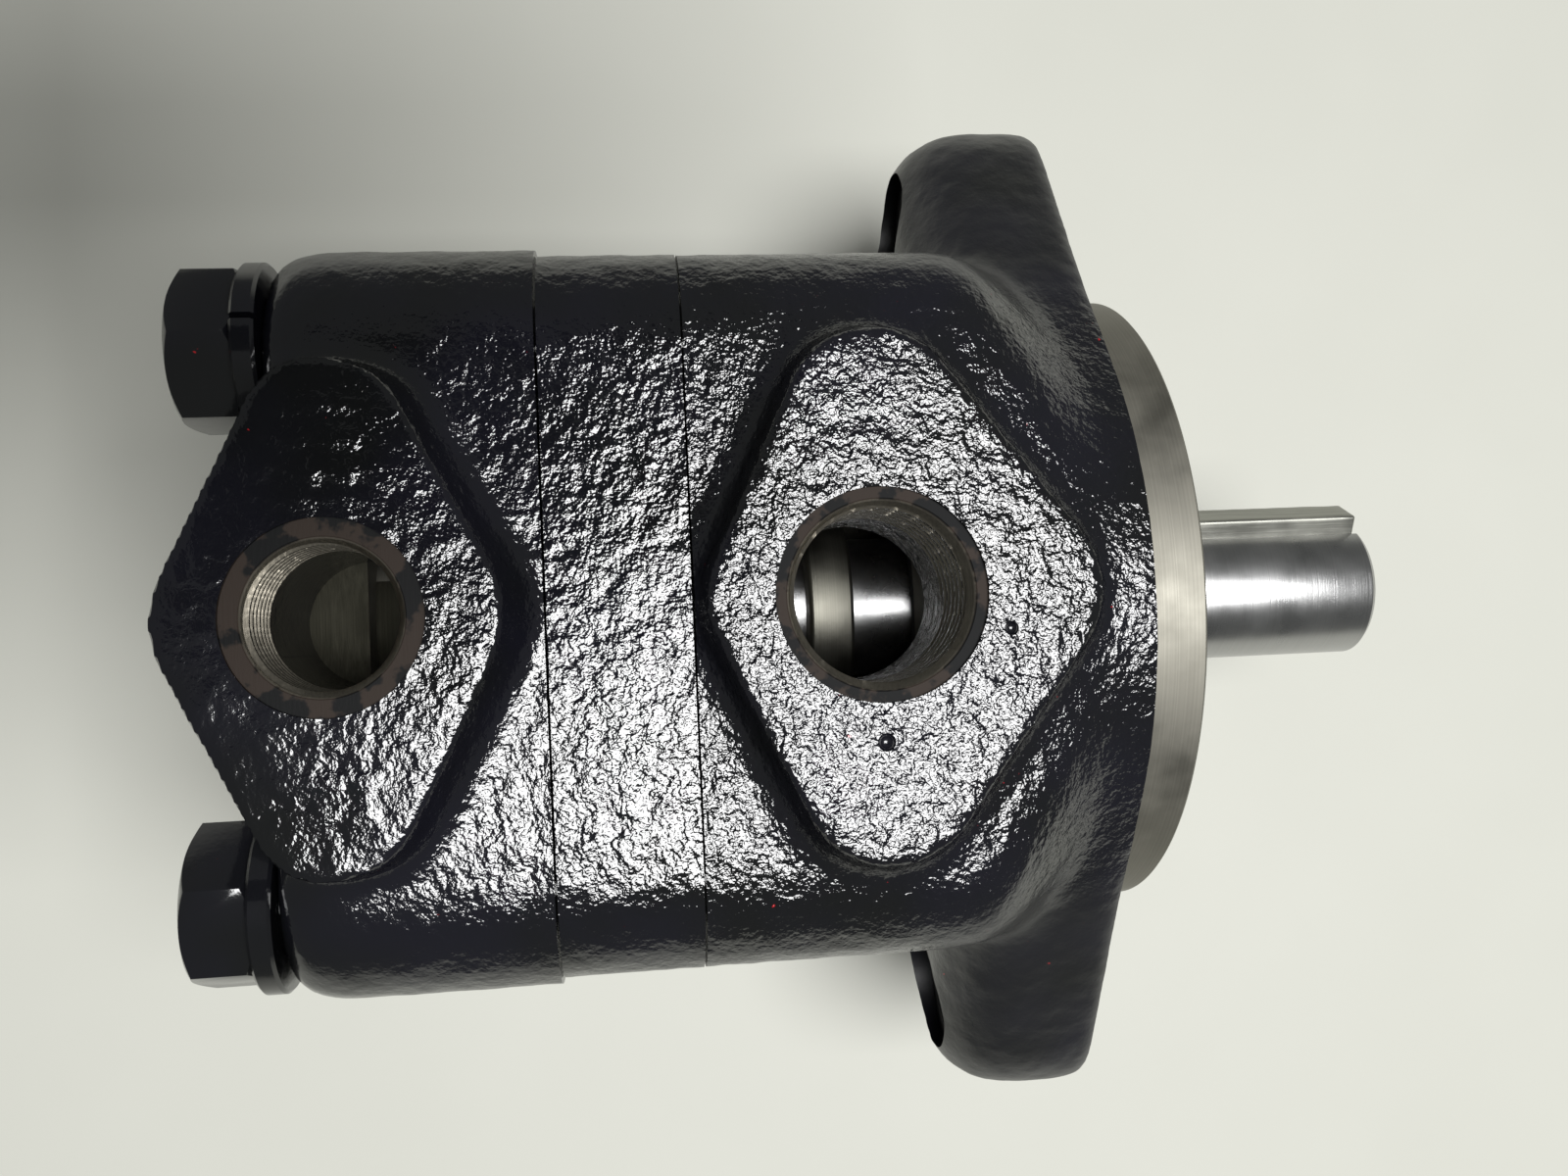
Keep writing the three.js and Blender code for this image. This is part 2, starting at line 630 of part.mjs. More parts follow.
function torusX(ringR, cordR, x, sides = 6, turns = 32) {
  const geometry = new THREE.TorusGeometry(ringR, cordR, sides, turns);
  geometry.rotateY(Math.PI / 2);
  geometry.translate(x, 0, 0);
  return solid(geometry);
}

// ---------------------------------------------------------------- materials

const paint = () => new THREE.MeshStandardMaterial({ color: 0x0b0c10, roughness: 0.28, metalness: 0 });
const groundSteel = () => new THREE.MeshStandardMaterial({ color: 0xb4b4b2, roughness: 0.25, metalness: 1 });
const dullSteel = () => new THREE.MeshStandardMaterial({ color: 0x77746d, roughness: 0.5, metalness: 1 });
const sinteredSteel = () => new THREE.MeshStandardMaterial({ color: 0x6e6c66, roughness: 0.45, metalness: 1 });
const bronze = () => new THREE.MeshStandardMaterial({ color: 0xa07a48, roughness: 0.4, metalness: 1 });
const rubber = () => new THREE.MeshStandardMaterial({ color: 0x141414, roughness: 0.8, metalness: 0 });

// ---------------------------------------------------------------- assembly

const pump = new THREE.Group();

/** Adds one named piece to the pump. */
function add(name, body, material) {
  const mesh = new THREE.Mesh(geometryOf(body), material);
  mesh.name = name;
  pump.add(mesh);
  return mesh;
}

add('inlet_body', inletBody(), paint());
add('gerotor_ring', gerotorRing(), paint());
add('outlet_cover', outletCover(), paint());

boltPlaces.forEach(([y, z], i) => {
  add(`cover_bolt_${i + 1}`, coverBolt(HEAD_TURNS[i]).translate(0, y, z), paint());
  add(`lock_washer_${i + 1}`, lockWasher().rotate([SLIT_TURNS[i], 0, 0]).translate(0, y, z), paint());
});
dowelPlaces.forEach(([y, z], i) => {
  const pin = barX(DOWEL_R, COVER_SEAM_X - DOWEL_REACH, BODY_SEAM_X + DOWEL_REACH, y, z, 16);
  add(`dowel_pin_${i + 1}`, pin, dullSteel());
});

add('drive_shaft', driveShaft(), groundSteel());
add('shaft_key', shaftKey(), dullSteel());
add('rotor_key', rotorKey(), dullSteel());
add('shaft_collar', shaftCollar(), dullSteel());
add('inner_rotor', innerRotor(), sinteredSteel());
add('outer_rotor', outerRotor(), sinteredSteel());

add('bearing_outer_race', bearingRace(1), groundSteel());
add('bearing_inner_race', bearingRace(-1), groundSteel());
add('bearing_cage', bearingCage(), dullSteel());
for (let i = 0; i < BALL_COUNT; i += 1) {
  const ball = new THREE.SphereGeometry(BALL_R, 10, 7);
  ball.translate(...ballPlace(i));
  add(`bearing_ball_${i + 1}`, solid(ball), groundSteel());
}
const clipX = BEARING_X[1] + GAP;
const bodyClip = snapRing(
  BEARING_OUTER_R - 2, BEARING_OUTER_R + CLIP_DEPTH, clipX, clipX + CLIP_THICK, BEARING_OUTER_R - 2.6, 0.45,
);
const shaftClip = snapRing(
  CLIP_GROOVE_R + GAP / 2, BEARING_BORE_R + 2, clipX + 0.1, clipX + CLIP_THICK - GAP, BEARING_BORE_R + 2.4, 0.8,
);
add('body_snap_ring', bodyClip, dullSteel());
add('shaft_snap_ring', shaftClip, dullSteel());

add('seal_case', sealCase(), dullSteel());
add('seal_lip', sealLip(), rubber());
add('garter_spring', torusX(SPRING_R, SPRING_WIRE_R, SEAL_X[0] + 2 * SPRING_WIRE_R), groundSteel());
add('body_bushing', sleeve(BUSHING_BORE_R, BUSHING_R, ...BODY_BUSHING_X), bronze());
add('cover_bushing', sleeve(BUSHING_BORE_R, BUSHING_R, ...COVER_BUSHING_X), bronze());
add('body_o_ring', torusX(O_RING_R, O_RING_CORD_R, BODY_SEAM_X + 1.2), rubber());
add('cover_o_ring', torusX(O_RING_R, O_RING_CORD_R, COVER_SEAM_X - 1.2), rubber());

// Put the origin under the middle of the pump's box.
const box = new THREE.Box3().setFromObject(pump);
const centre = box.getCenter(new THREE.Vector3());
pump.position.set(-centre.x, -centre.y, -box.min.z);

export default pump;
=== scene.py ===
# %% [markdown]
# # A cast-iron gear pump, painted thick gloss black
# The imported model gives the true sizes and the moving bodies. This lesson builds the skin that a
# maker would see: three castings with round fillets and rough sand, hex bolts, split washers, a
# ground shaft with its key, and the bearing, seal and rotors inside.
# Every place below is given in millimetres from one point: the shaft axis where it crosses the
# mounting face. X runs along the shaft, Y to an ear of the flange, and Z up, where the ports face.

# %% The frame and the pump's own ruler
import math

import bpy
from mathutils import Matrix, Vector
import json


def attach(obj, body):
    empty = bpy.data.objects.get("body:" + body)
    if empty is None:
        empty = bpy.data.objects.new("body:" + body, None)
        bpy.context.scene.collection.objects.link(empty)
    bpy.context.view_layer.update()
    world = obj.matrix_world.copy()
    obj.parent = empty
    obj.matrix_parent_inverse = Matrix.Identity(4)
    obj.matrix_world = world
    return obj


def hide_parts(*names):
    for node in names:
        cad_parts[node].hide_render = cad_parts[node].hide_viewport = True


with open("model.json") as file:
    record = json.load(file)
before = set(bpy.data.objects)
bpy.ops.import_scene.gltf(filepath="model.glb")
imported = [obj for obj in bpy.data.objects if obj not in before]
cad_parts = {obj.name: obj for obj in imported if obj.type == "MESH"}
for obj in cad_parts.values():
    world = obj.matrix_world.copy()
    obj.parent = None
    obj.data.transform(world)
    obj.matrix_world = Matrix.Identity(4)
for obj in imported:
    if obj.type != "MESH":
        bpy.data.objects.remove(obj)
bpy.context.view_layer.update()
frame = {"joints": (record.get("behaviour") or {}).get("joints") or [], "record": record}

MM = 0.001
PIVOTS = {joint["name"]: joint["pos_m"] for joint in frame["joints"]}
MOUNTS = {mount["name"]: mount["pos_m"] for mount in frame["record"]["mounts"]}
ORIGIN = Vector((MOUNTS["mounting_face"][0], *PIVOTS["shaft_spin"][1:]))


def at(x, y=0.0, z=0.0):
    """A point of the pump, in millimetres from the shaft axis at the mounting face."""
    return ORIGIN + Vector((x, y, z)) * MM


# %% [markdown]
# ## The camera
# A phone held over the bench, close to the rear half of the pump, so the near pads look large and
# the shaft leans away. Its place is given on the same ruler, and its three small turns bring the
# shaft line level in the frame.

# %% Camera
CAMERA_PLACE = at(-58.8, -5.0, 186.6)
CAMERA_YAW, CAMERA_PITCH, CAMERA_ROLL = 6.64, -2.47, 2.64
camera_data = bpy.data.cameras.new("bench_camera")
camera_data.sensor_width = 36.0
camera_data.lens = 30.88
camera_data.clip_start = 0.01
camera = bpy.data.objects.new("bench_camera", camera_data)
bpy.context.scene.collection.objects.link(camera)
turn = (
    Matrix.Rotation(math.radians(-CAMERA_YAW), 4, "Y")
    @ Matrix.Rotation(math.radians(-CAMERA_PITCH), 4, "X")
    @ Matrix.Rotation(math.radians(-CAMERA_ROLL), 4, "Z")
)
camera.matrix_world = Matrix.Translation(CAMERA_PLACE) @ turn
bpy.context.scene.camera = camera

# %% [markdown]
# ## Bench tools
# Each helper does what a hand would do in the viewport: pick one piece, put its place into its
# mesh, add a modifier and apply it, or cut one solid with another. The castings are solids that
# are really joined and machined, so the same few tools make nearly everything.

# %% Picking and finishing
def alone(piece):
    """Leaves only this piece selected and active."""
    bpy.ops.object.select_all(action="DESELECT")
    piece.select_set(True)
    bpy.context.view_layer.objects.active = piece
    return piece


def settle(piece):
    """Puts a piece's place, turn and size into its mesh."""
    alone(piece)
    bpy.ops.object.transform_apply(location=True, rotation=True, scale=True)
    return piece


def work(piece, kind, **settings):
    """Adds one modifier to a piece and applies it."""
    alone(piece)
    modifier = piece.modifiers.new(kind.lower(), kind)
    for key, value in settings.items():
        setattr(modifier, key, value)
    bpy.ops.object.modifier_apply(modifier=modifier.name)
    return piece


def combine(piece, tools, operation):
    """Joins, cuts or intersects a piece with other solids, which are used up."""
    for tool in tools:
        work(piece, "BOOLEAN", object=tool, operation=operation, solver="MANIFOLD")
        bpy.data.objects.remove(tool)
    return piece


def join(piece, *tools):
    """Adds other solids to a piece."""
    return combine(piece, tools, "UNION")


def cut(piece, *tools):
    """Takes other solids away from a piece."""
    return combine(piece, tools, "DIFFERENCE")


def keep_inside(piece, tool):
    """Keeps only what lies inside another solid."""
    return combine(piece, [tool], "INTERSECT")


# %% Stock: bars, blocks and turned work
def bar(radius, x0, x1, y=0.0, z=0.0, sides=96, tip=None, turn=0.0):
    """A bar along the shaft, turned by some degrees; with tip it tapers to that radius at x1."""
    lie_down = Matrix.Rotation(math.radians(turn), 4, "X") @ Matrix.Rotation(math.pi / 2, 4, "Y")
    bpy.ops.mesh.primitive_cone_add(
        vertices=sides, radius1=radius * MM, radius2=(radius if tip is None else tip) * MM,
        depth=(x1 - x0) * MM, location=at((x0 + x1) / 2, y, z), rotation=lie_down.to_euler(),
    )
    return settle(bpy.context.object)


def post(radius, z0, z1, x, y=0.0, sides=96, tip=None):
    """A round post standing along Z; with tip it tapers to that radius at its top."""
    bpy.ops.mesh.primitive_cone_add(
        vertices=sides, radius1=radius * MM, radius2=(radius if tip is None else tip) * MM,
        depth=(z1 - z0) * MM, location=at(x, y, (z0 + z1) / 2),
    )
    return settle(bpy.context.object)


def block(x, y, z, turn=0.0, about=(0.0, 0.0)):
    """A block between the two ends given for each direction, then turned about a line along X."""
    spin = Matrix.Rotation(math.radians(turn), 3, "X")
    place = spin @ Vector((low + high) / 2 for low, high in (x, y, z)) + Vector((0, *about))
    size = [(high - low) * MM for low, high in (x, y, z)]
    bpy.ops.mesh.primitive_cube_add(size=1, location=at(*place), rotation=spin.to_euler(), scale=size)
    return settle(bpy.context.object)


def clean(piece):
    """Merges doubled points and turns every face outwards."""
    alone(piece)
    bpy.ops.object.mode_set(mode="EDIT")
    bpy.ops.mesh.select_all(action="SELECT")
    bpy.ops.mesh.remove_doubles(threshold=0.001 * MM)
    bpy.ops.mesh.normals_make_consistent(inside=False)
    bpy.ops.object.mode_set(mode="OBJECT")
    return piece


def wire(name, places, closed):
    """A new piece that is only a chain of edges through these points."""
    mesh = bpy.data.meshes.new(name)
    count = len(places)
    edges = [(i, (i + 1) % count) for i in range(count if closed else count - 1)]
    mesh.from_pydata(places, edges, [])
    piece = bpy.data.objects.new(name, mesh)
    bpy.context.scene.collection.objects.link(piece)
    return alone(piece)


def turned(profile, sides=128, y=0.0, z=0.0):
    """Spins an outline of (radius, x) points, closed or from axis to axis, about the shaft's line."""
    piece = wire("turned", [at(x, y, z + radius) for radius, x in profile], closed=profile[0][0] > 0)
    bpy.ops.object.mode_set(mode="EDIT")
    bpy.ops.mesh.select_all(action="SELECT")
    bpy.ops.mesh.spin(
        steps=sides, angle=math.tau, center=at(0, y, z), axis=(1, 0, 0), use_auto_merge=True,
    )
    bpy.ops.object.mode_set(mode="OBJECT")
    return clean(piece)


def extruded(outline, x0, x1):
    """A solid of constant section along the shaft, from a closed outline of (y, z) points."""
    piece = wire("extruded", [at(x0, y, z) for y, z in outline], closed=True)
    bpy.ops.object.mode_set(mode="EDIT")
    bpy.ops.mesh.select_all(action="SELECT")
    bpy.ops.mesh.edge_face_add()
    bpy.ops.mesh.extrude_region_move(TRANSFORM_OT_translate={"value": ((x1 - x0) * MM, 0, 0)})
    bpy.ops.object.mode_set(mode="OBJECT")
    return clean(piece)


def hull(*solids):
    """The tight skin round several solids, which makes straight walls between round corners."""
    alone(solids[0])
    for other in solids[1:]:
        other.select_set(True)
    bpy.ops.object.join()
    piece = alone(solids[0])
    bpy.ops.object.mode_set(mode="EDIT")
    bpy.ops.mesh.select_all(action="SELECT")
    bpy.ops.mesh.convex_hull()
    bpy.ops.object.mode_set(mode="OBJECT")
    return clean(piece)


def square_bar(half, corner, x0, x1):
    """A square bar along the shaft with its four long edges rounded."""
    c = half - corner
    return hull(*(bar(corner, x0, x1, sy * c, sz * c, 64) for sy in (-1, 1) for sz in (-1, 1)))


# %% Casting skin
def coated(piece, material):
    """Gives a whole piece one material."""
    piece.data.materials.clear()
    piece.data.materials.append(material)
    return piece


def cast(piece, grain, blend, material):
    """Melts joined solids into one skin: even small faces first, then corners flow together."""
    work(piece, "REMESH", mode="VOXEL", voxel_size=grain * MM)
    work(piece, "SMOOTH", factor=0.5, iterations=blend)
    return coated(piece, material)


def roughen(piece, size, height):
    """Pushes the skin in and out by a cloud pattern: size across a lump and height, in mm."""
    texture = bpy.data.textures.new("sand", "CLOUDS")
    texture.noise_scale = size * MM
    work(piece, "DISPLACE", texture=texture, strength=height * MM, mid_level=0.5, texture_coords="LOCAL")
    bpy.data.textures.remove(texture)
    return piece


def refinish(piece, material, low, high):
    """Gives another finish to every face whose middle lies in the box between two corners."""
    piece.data.materials.append(material)
    index = len(piece.data.materials) - 1
    for face in piece.data.polygons:
        if all(a <= c <= b for a, c, b in zip(low, face.center, high)):
            face.material_index = index
    return piece


# %% Handing a piece to its body
def fit(piece, name, body, slot, *nodes, angle=35):
    """Names a finished piece, shades it, ties it to its body and hides the CAD nodes it replaces; slot is
    not used.
    """
    piece.name = name
    piece.data.name = name
    alone(piece)
    bpy.ops.object.shade_smooth_by_angle(angle=math.radians(angle))
    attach(piece, body)
    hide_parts(*nodes)
    print(name, len(piece.data.polygons), "faces")

# %% [markdown]
# ## Finishes
# All the iron is dipped in thick black gloss enamel, so the sand of the casting shows as broken
# reflections and not as colour. One function mixes that enamel; how coarse the sand is changes from
# casting to casting. Machined places stay bare: the pilot, the port rims and threads, the shaft.

# %% Node helpers
def new_material(name, **constants):
    """A material whose principled shader has these constants on its own sockets."""
    material = bpy.data.materials.new(name)
    material.use_nodes = True
    shader = material.node_tree.nodes["Principled BSDF"]
    for key, value in constants.items():
        shader.inputs[key.replace("_", " ")].default_value = value
    return material, material.node_tree, shader


def feed(tree, socket, value):
    """Links a socket to another node's output, or fills it with a constant."""
    if isinstance(value, bpy.types.NodeSocket):
        tree.links.new(value, socket)
    else:
        socket.default_value = value


def node(tree, kind, sources=None, **settings):
    """Adds a node, sets its properties, and links or fills the inputs named in sources."""
    made = tree.nodes.new("ShaderNode" + kind)
    for key, value in settings.items():
        setattr(made, key, value)
    for key, value in (sources or {}).items():
        feed(tree, made.inputs[key], value)
    return made


def piece_place(tree, centre=(0, 0, 0)):
    """Object coordinates whose zero is the pump's ruler point, moved by centre in mm."""
    coordinates = node(tree, "TexCoord").outputs["Object"]
    return node(tree, "Mapping", {"Vector": coordinates, "Location": -at(*centre)}).outputs["Vector"]


def noise(tree, place, size, detail=2.0, roughness=0.5):
    """A noise pattern whose lumps are size millimetres across."""
    return node(
        tree, "TexNoise", {"Vector": place, "Scale": 1 / (size * MM), "Detail": detail,
                           "Roughness": roughness},
    ).outputs["Fac"]


def ramp(tree, value, low, high, low_value=0.0, high_value=1.0):
    """Stretches value so that low to high runs from low_value to high_value."""
    return node(
        tree, "MapRange", {"Value": value, "From Min": low, "From Max": high,
                           "To Min": low_value, "To Max": high_value}, clamp=True,
    ).outputs["Result"]


def maths(tree, operation, first, second=0.0):
    """The result of one maths operation on two values, each a number or another node's output."""
    made = node(tree, "Math", operation=operation)
    for socket, value in zip(made.inputs, (first, second)):
        feed(tree, socket, value)
    return made.outputs["Value"]


def mix_colour(tree, share, first, second):
    """A mix of two colours, where share says how much of the second shows."""
    made = node(tree, "Mix", data_type="RGBA")
    for socket, value in zip((made.inputs[0], made.inputs[6], made.inputs[7]), (share, first, second)):
        feed(tree, socket, value)
    return made.outputs[2]


# %% Enamel
INK = (0.0042, 0.0045, 0.0048, 1)
INK_BLUE = (0.0052, 0.0052, 0.0085, 1)
RED_SPECK = (0.30, 0.008, 0.012, 1)
GRIT_SHARE = 0.45
EAR_CALM = 0.72
RIB_PERIOD = 3.5
RIB_SHARE = 0.25


def enamel(name, lump, deep, rough=(0.07, 0.12), ribs=False):
    """Black gloss enamel over sand: lump is the sand's size in mm and deep its height."""
    material, tree, shader = new_material(name, Specular_IOR_Level=0.62, IOR=1.55)
    place = piece_place(tree)
    lie = {"Vector": place, "Scale": (1.0, 0.8, 1.0), "Rotation": (0, 0, 0.6)}
    crumple = noise(tree, node(tree, "Mapping", lie).outputs["Vector"], lump, 2.5, 0.55)
    grit = noise(tree, place, lump * 0.38, 2.0, 0.6)
    height = maths(tree, "ADD", crumple, maths(tree, "MULTIPLY", grit, GRIT_SHARE))
    if ribs:
        height = maths(tree, "ADD", height, rib_height(tree, place))
    strong = calm(tree, place)
    along = node(tree, "SeparateXYZ", {"Vector": place}).outputs["X"]
    # The enamel lies thicker at the outlet end and drowns the sand there.
    thick_coat = ramp(tree, along, -95 * MM, -77 * MM, 0.34, 1.0)
    depth = maths(tree, "MULTIPLY", maths(tree, "MULTIPLY", strong, thick_coat), deep * MM)
    bump = node(tree, "Bump", {"Height": height, "Distance": depth, "Strength": 1.0})
    tree.links.new(bump.outputs["Normal"], shader.inputs["Normal"])
    cloud = noise(tree, place, 18.0, 2.0)
    tint = mix_colour(tree, ramp(tree, cloud, 0.35, 0.65), INK, INK_BLUE)
    speck = ramp(tree, noise(tree, place, 0.9, 1.0), 0.79, 0.82)
    speck_field = ramp(tree, noise(tree, place, 7.0, 1.0), 0.55, 0.6)
    red = maths(tree, "MULTIPLY", speck, speck_field)
    tree.links.new(mix_colour(tree, red, tint, RED_SPECK), shader.inputs["Base Color"])
    dull = maths(tree, "MULTIPLY", maths(tree, "SUBTRACT", 1.0, strong), 0.34)
    gloss = maths(tree, "ADD", ramp(tree, cloud, 0.3, 0.7, *rough), dull)
    tree.links.new(gloss, shader.inputs["Roughness"])
    return material


def calm(tree, place):
    """How strong the sand shows: full on top, softer down the sides, and faint on the ears."""
    parts = node(tree, "SeparateXYZ", {"Vector": place})
    aside = maths(tree, "ABSOLUTE", parts.outputs["Y"])
    side = ramp(tree, aside, 33 * MM, 41 * MM, 1.0, 0.6)
    to_ear = ramp(tree, parts.outputs["X"], -30 * MM, -16 * MM)
    ear = maths(tree, "MULTIPLY", to_ear, ramp(tree, aside, 28 * MM, 40 * MM))
    off_ear = maths(tree, "SUBTRACT", 1.0, maths(tree, "MULTIPLY", ear, EAR_CALM))
    return maths(tree, "MULTIPLY", side, off_ear)


def rib_height(tree, place):
    """Faint cast ribs along the shaft on both halves of the outlet pad, between the port and a tip."""
    parts = node(tree, "SeparateXYZ", {"Vector": place})
    x, y = parts.outputs["X"], parts.outputs["Y"]
    wave = maths(tree, "SINE", maths(tree, "MULTIPLY", y, math.tau / (RIB_PERIOD * MM)))
    away = maths(tree, "ABSOLUTE", maths(tree, "ADD", maths(tree, "ABSOLUTE", y), -17.5 * MM))
    band = ramp(tree, away, 4.5 * MM, 6.0 * MM, 1.0, 0.0)
    side = maths(tree, "ABSOLUTE", maths(tree, "ADD", x, 90.0 * MM))
    reach = ramp(tree, side, 4.5 * MM, 6.0 * MM, 1.0, 0.0)
    ribs = maths(tree, "MULTIPLY", wave, band)
    return maths(tree, "MULTIPLY", ribs, maths(tree, "MULTIPLY", reach, RIB_SHARE))


BODY_ENAMEL = enamel("black_enamel_body", 1.9, 0.42)
RING_ENAMEL = enamel("black_enamel_ring", 2.0, 0.34)
COVER_ENAMEL = enamel("black_enamel_cover", 1.8, 0.28, ribs=True)
BOLT_ENAMEL = enamel("black_enamel_bolts", 1.1, 0.035)
SMOOTH_ENAMEL = enamel("black_enamel_machined", 2.5, 0.05, rough=(0.10, 0.18))


# %% Bare metal
def machined(name, colour, rough, along=False, size=0.16, deep=0.012, stain=0.35):
    """Bare metal with faint stains and fine tool lines, round the shaft or along it."""
    material, tree, shader = new_material(name, Metallic=1.0, Specular_IOR_Level=0.5)
    place = piece_place(tree)
    parts = node(tree, "SeparateXYZ", {"Vector": place})
    y_squared = maths(tree, "POWER", parts.outputs["Y"], 2.0)
    z_squared = maths(tree, "POWER", parts.outputs["Z"], 2.0)
    radius = maths(tree, "SQRT", maths(tree, "ADD", y_squared, z_squared))
    around = node(tree, "CombineXYZ", {"X": parts.outputs["X"], "Y": radius, "Z": 0.0})
    drawn = node(tree, "Mapping", {"Vector": place, "Scale": (0.04, 1, 1)})
    lines_place = (drawn if along else around).outputs["Vector"]
    lines = noise(tree, lines_place, size, 2.0, 0.6)
    cloud = noise(tree, place, 6.0, 3.0)
    bump = node(tree, "Bump", {"Height": lines, "Distance": deep * MM, "Strength": 1.0})
    tree.links.new(bump.outputs["Normal"], shader.inputs["Normal"])
    darker = tuple(v * (1 - stain) for v in colour) + (1,)
    tone = maths(tree, "ADD", maths(tree, "MULTIPLY", lines, 0.5), maths(tree, "MULTIPLY", cloud, 0.5))
    shade = mix_colour(tree, ramp(tree, tone, 0.35, 0.65), darker, colour + (1,))
    tree.links.new(shade, shader.inputs["Base Color"])
    tree.links.new(ramp(tree, cloud, 0.3, 0.7, rough * 0.85, rough * 1.15), shader.inputs["Roughness"])
    return material


BARE_IRON = machined("bare_cast_iron", (0.26, 0.25, 0.215), 0.58, size=0.25, deep=0.010, stain=0.25)
# Raw cast iron, darkened further as painted shade for the depth of the real outlet passage.
PASSAGE_SHADE_IRON = machined("passage_iron_painted_shade", (0.050, 0.048, 0.036), 0.72, size=0.5, deep=0.06)
GROUND_STEEL = machined("shaft_steel", (0.46, 0.46, 0.46), 0.30, size=0.12, deep=0.016, stain=0.14)
TURNED_STEEL = machined("collar_steel", (0.17, 0.165, 0.14), 0.45, size=0.2, deep=0.02)
KEY_STEEL = machined("drawn_key_steel", (0.40, 0.40, 0.36), 0.44, along=True, size=0.6, deep=0.04)
SINTERED_STEEL = machined("sintered_rotor_steel", (0.34, 0.33, 0.31), 0.38, size=0.35, deep=0.01)
BEARING_STEEL = machined("bearing_ring_steel", (0.66, 0.66, 0.66), 0.16, size=0.12, deep=0.002, stain=0.06)
CAGE_BRASS = machined("cage_brass_turned", (0.60, 0.43, 0.19), 0.30, size=0.2, deep=0.006, stain=0.2)
CLIP_STEEL = machined("blacked_spring_steel", (0.10, 0.10, 0.105), 0.38, size=0.4, deep=0.006)
SEAL_STEEL = machined("pressed_seal_steel", (0.33, 0.33, 0.32), 0.34, size=0.6, deep=0.006)
BRONZE = machined("bushing_bronze_turned", (0.50, 0.33, 0.16), 0.34, size=0.2, deep=0.008, stain=0.2)
DOWEL_STEEL = machined("ground_dowel_steel", (0.55, 0.55, 0.55), 0.22, size=0.12, deep=0.003, stain=0.08)


# %% Port metal, where paint has crept over the rim
RIM_BROWN = (0.026, 0.019, 0.015, 1)


def port_metal():
    """Machined iron; round the rim it is stained brown and enamel has run over it in patches."""
    material = machined("port_metal", (0.24, 0.22, 0.18), 0.36, size=0.3, deep=0.02, stain=0.4)
    tree = material.node_tree
    shader = tree.nodes["Principled BSDF"]
    shader.inputs["Specular IOR Level"].default_value = 0.12
    place = piece_place(tree, (0, 0, 46.0))
    height = node(tree, "SeparateXYZ", {"Vector": place}).outputs["Z"]
    on_rim = ramp(tree, height, 0.10 * MM, 0.35 * MM)
    patch = ramp(tree, noise(tree, place, 5.0, 4.0, 0.6), 0.47, 0.52)
    paint = maths(tree, "MULTIPLY", on_rim, patch)
    metal = shader.inputs["Base Color"].links[0].from_socket
    stained = mix_colour(tree, on_rim, metal, RIM_BROWN)
    tree.links.new(mix_colour(tree, paint, stained, INK), shader.inputs["Base Color"])
    tree.links.new(maths(tree, "SUBTRACT", 1.0, on_rim), shader.inputs["Metallic"])
    tree.links.new(ramp(tree, on_rim, 0.0, 1.0, 0.36, 0.62), shader.inputs["Roughness"])
    return material


# %% Rubber
def rubber(name):
    """Black rubber with a faint grey bloom."""
    material, tree, shader = new_material(name, Specular_IOR_Level=0.35)
    place = piece_place(tree)
    bloom = noise(tree, place, 4.0, 3.0)
    shade = mix_colour(tree, bloom, (0.012, 0.012, 0.012, 1), (0.03, 0.03, 0.03, 1))
    tree.links.new(shade, shader.inputs["Base Color"])
    tree.links.new(ramp(tree, bloom, 0.3, 0.7, 0.45, 0.7), shader.inputs["Roughness"])
    grain = noise(tree, place, 0.4, 2.0)
    skin = node(tree, "Bump", {"Height": grain, "Distance": 0.01 * MM, "Strength": 1.0})
    tree.links.new(skin.outputs["Normal"], shader.inputs["Normal"])
    return material


PORT_METAL = port_metal()
SEAL_RUBBER = rubber("nitrile_seal")
RING_RUBBER = rubber("nitrile_o_ring")
print("finishes", len(bpy.data.materials))

# %% [markdown]
# ## The three castings
# A casting is made here as a foundry and a machine shop make it. Plain solids are joined into a
# pattern, the pattern melts into one skin with round fillets, and the sand roughens it. Only then
# is it machined: the seam and mounting faces are cut flat, so their edges stay crisp, and bores,
# rims and bolt holes are cut into the same solid. Each cutter carries the finish it leaves.

# %% Machining cutters
FAR = 90
BOLT_PLACE = 30.7
BODY_SEAM, COVER_SEAM, COVER_REAR = -51.8, -67.6, -96.7
SEAM_GAP = 0.12
PORT_TOP = 47.0
INLET_X, OUTLET_X = -32.0, -89.5
DOWEL_Y, DOWEL_Z = 36.4, 12.0
O_RING_R = 33.4
BUSHING_SEAT_R = 12.15
BOLT_HOLE_R, BODY_BOLT_HOLE_R = 6, 5.7
DOWEL_HOLE_R = 2.12


def half_space(x0, x1, material):
    """Everything between two planes across the shaft, to be cut away."""
    return coated(block((x0, x1), (-FAR, FAR), (-FAR, FAR)), material)


def above(z, material):
    """Everything higher than a level, to be cut away."""
    return coated(block((-2 * FAR, FAR), (-FAR, FAR), (z, FAR)), material)


def bare(*tools):
    """Marks cutters so that the faces they leave are bare iron."""
    return [coated(tool, BARE_IRON) for tool in tools]


def at_bolts(make):
    """What make(y, z) builds, at each of the four cover bolts."""
    return [make(BOLT_PLACE * y, BOLT_PLACE * z) for y, z in ((1, 1), (-1, 1), (-1, -1), (1, -1))]


def at_dowels(make):
    """What make(y, z) builds, at each of the two dowels."""
    return [make(DOWEL_Y * side, DOWEL_Z * side) for side in (1, -1)]


def diamond(x, left, right, length, low, high, tip, side, draft):
    """A pad with four round corners whose walls lean in by draft from low to high."""
    corners = [
        (x + right - side, 0, side), (x, length - tip, tip),
        (x - left + side, 0, side), (x, tip - length, tip),
    ]
    return hull(*(post(r + draft, low, high, cx, cy, 64, tip=r) for cx, cy, r in corners))


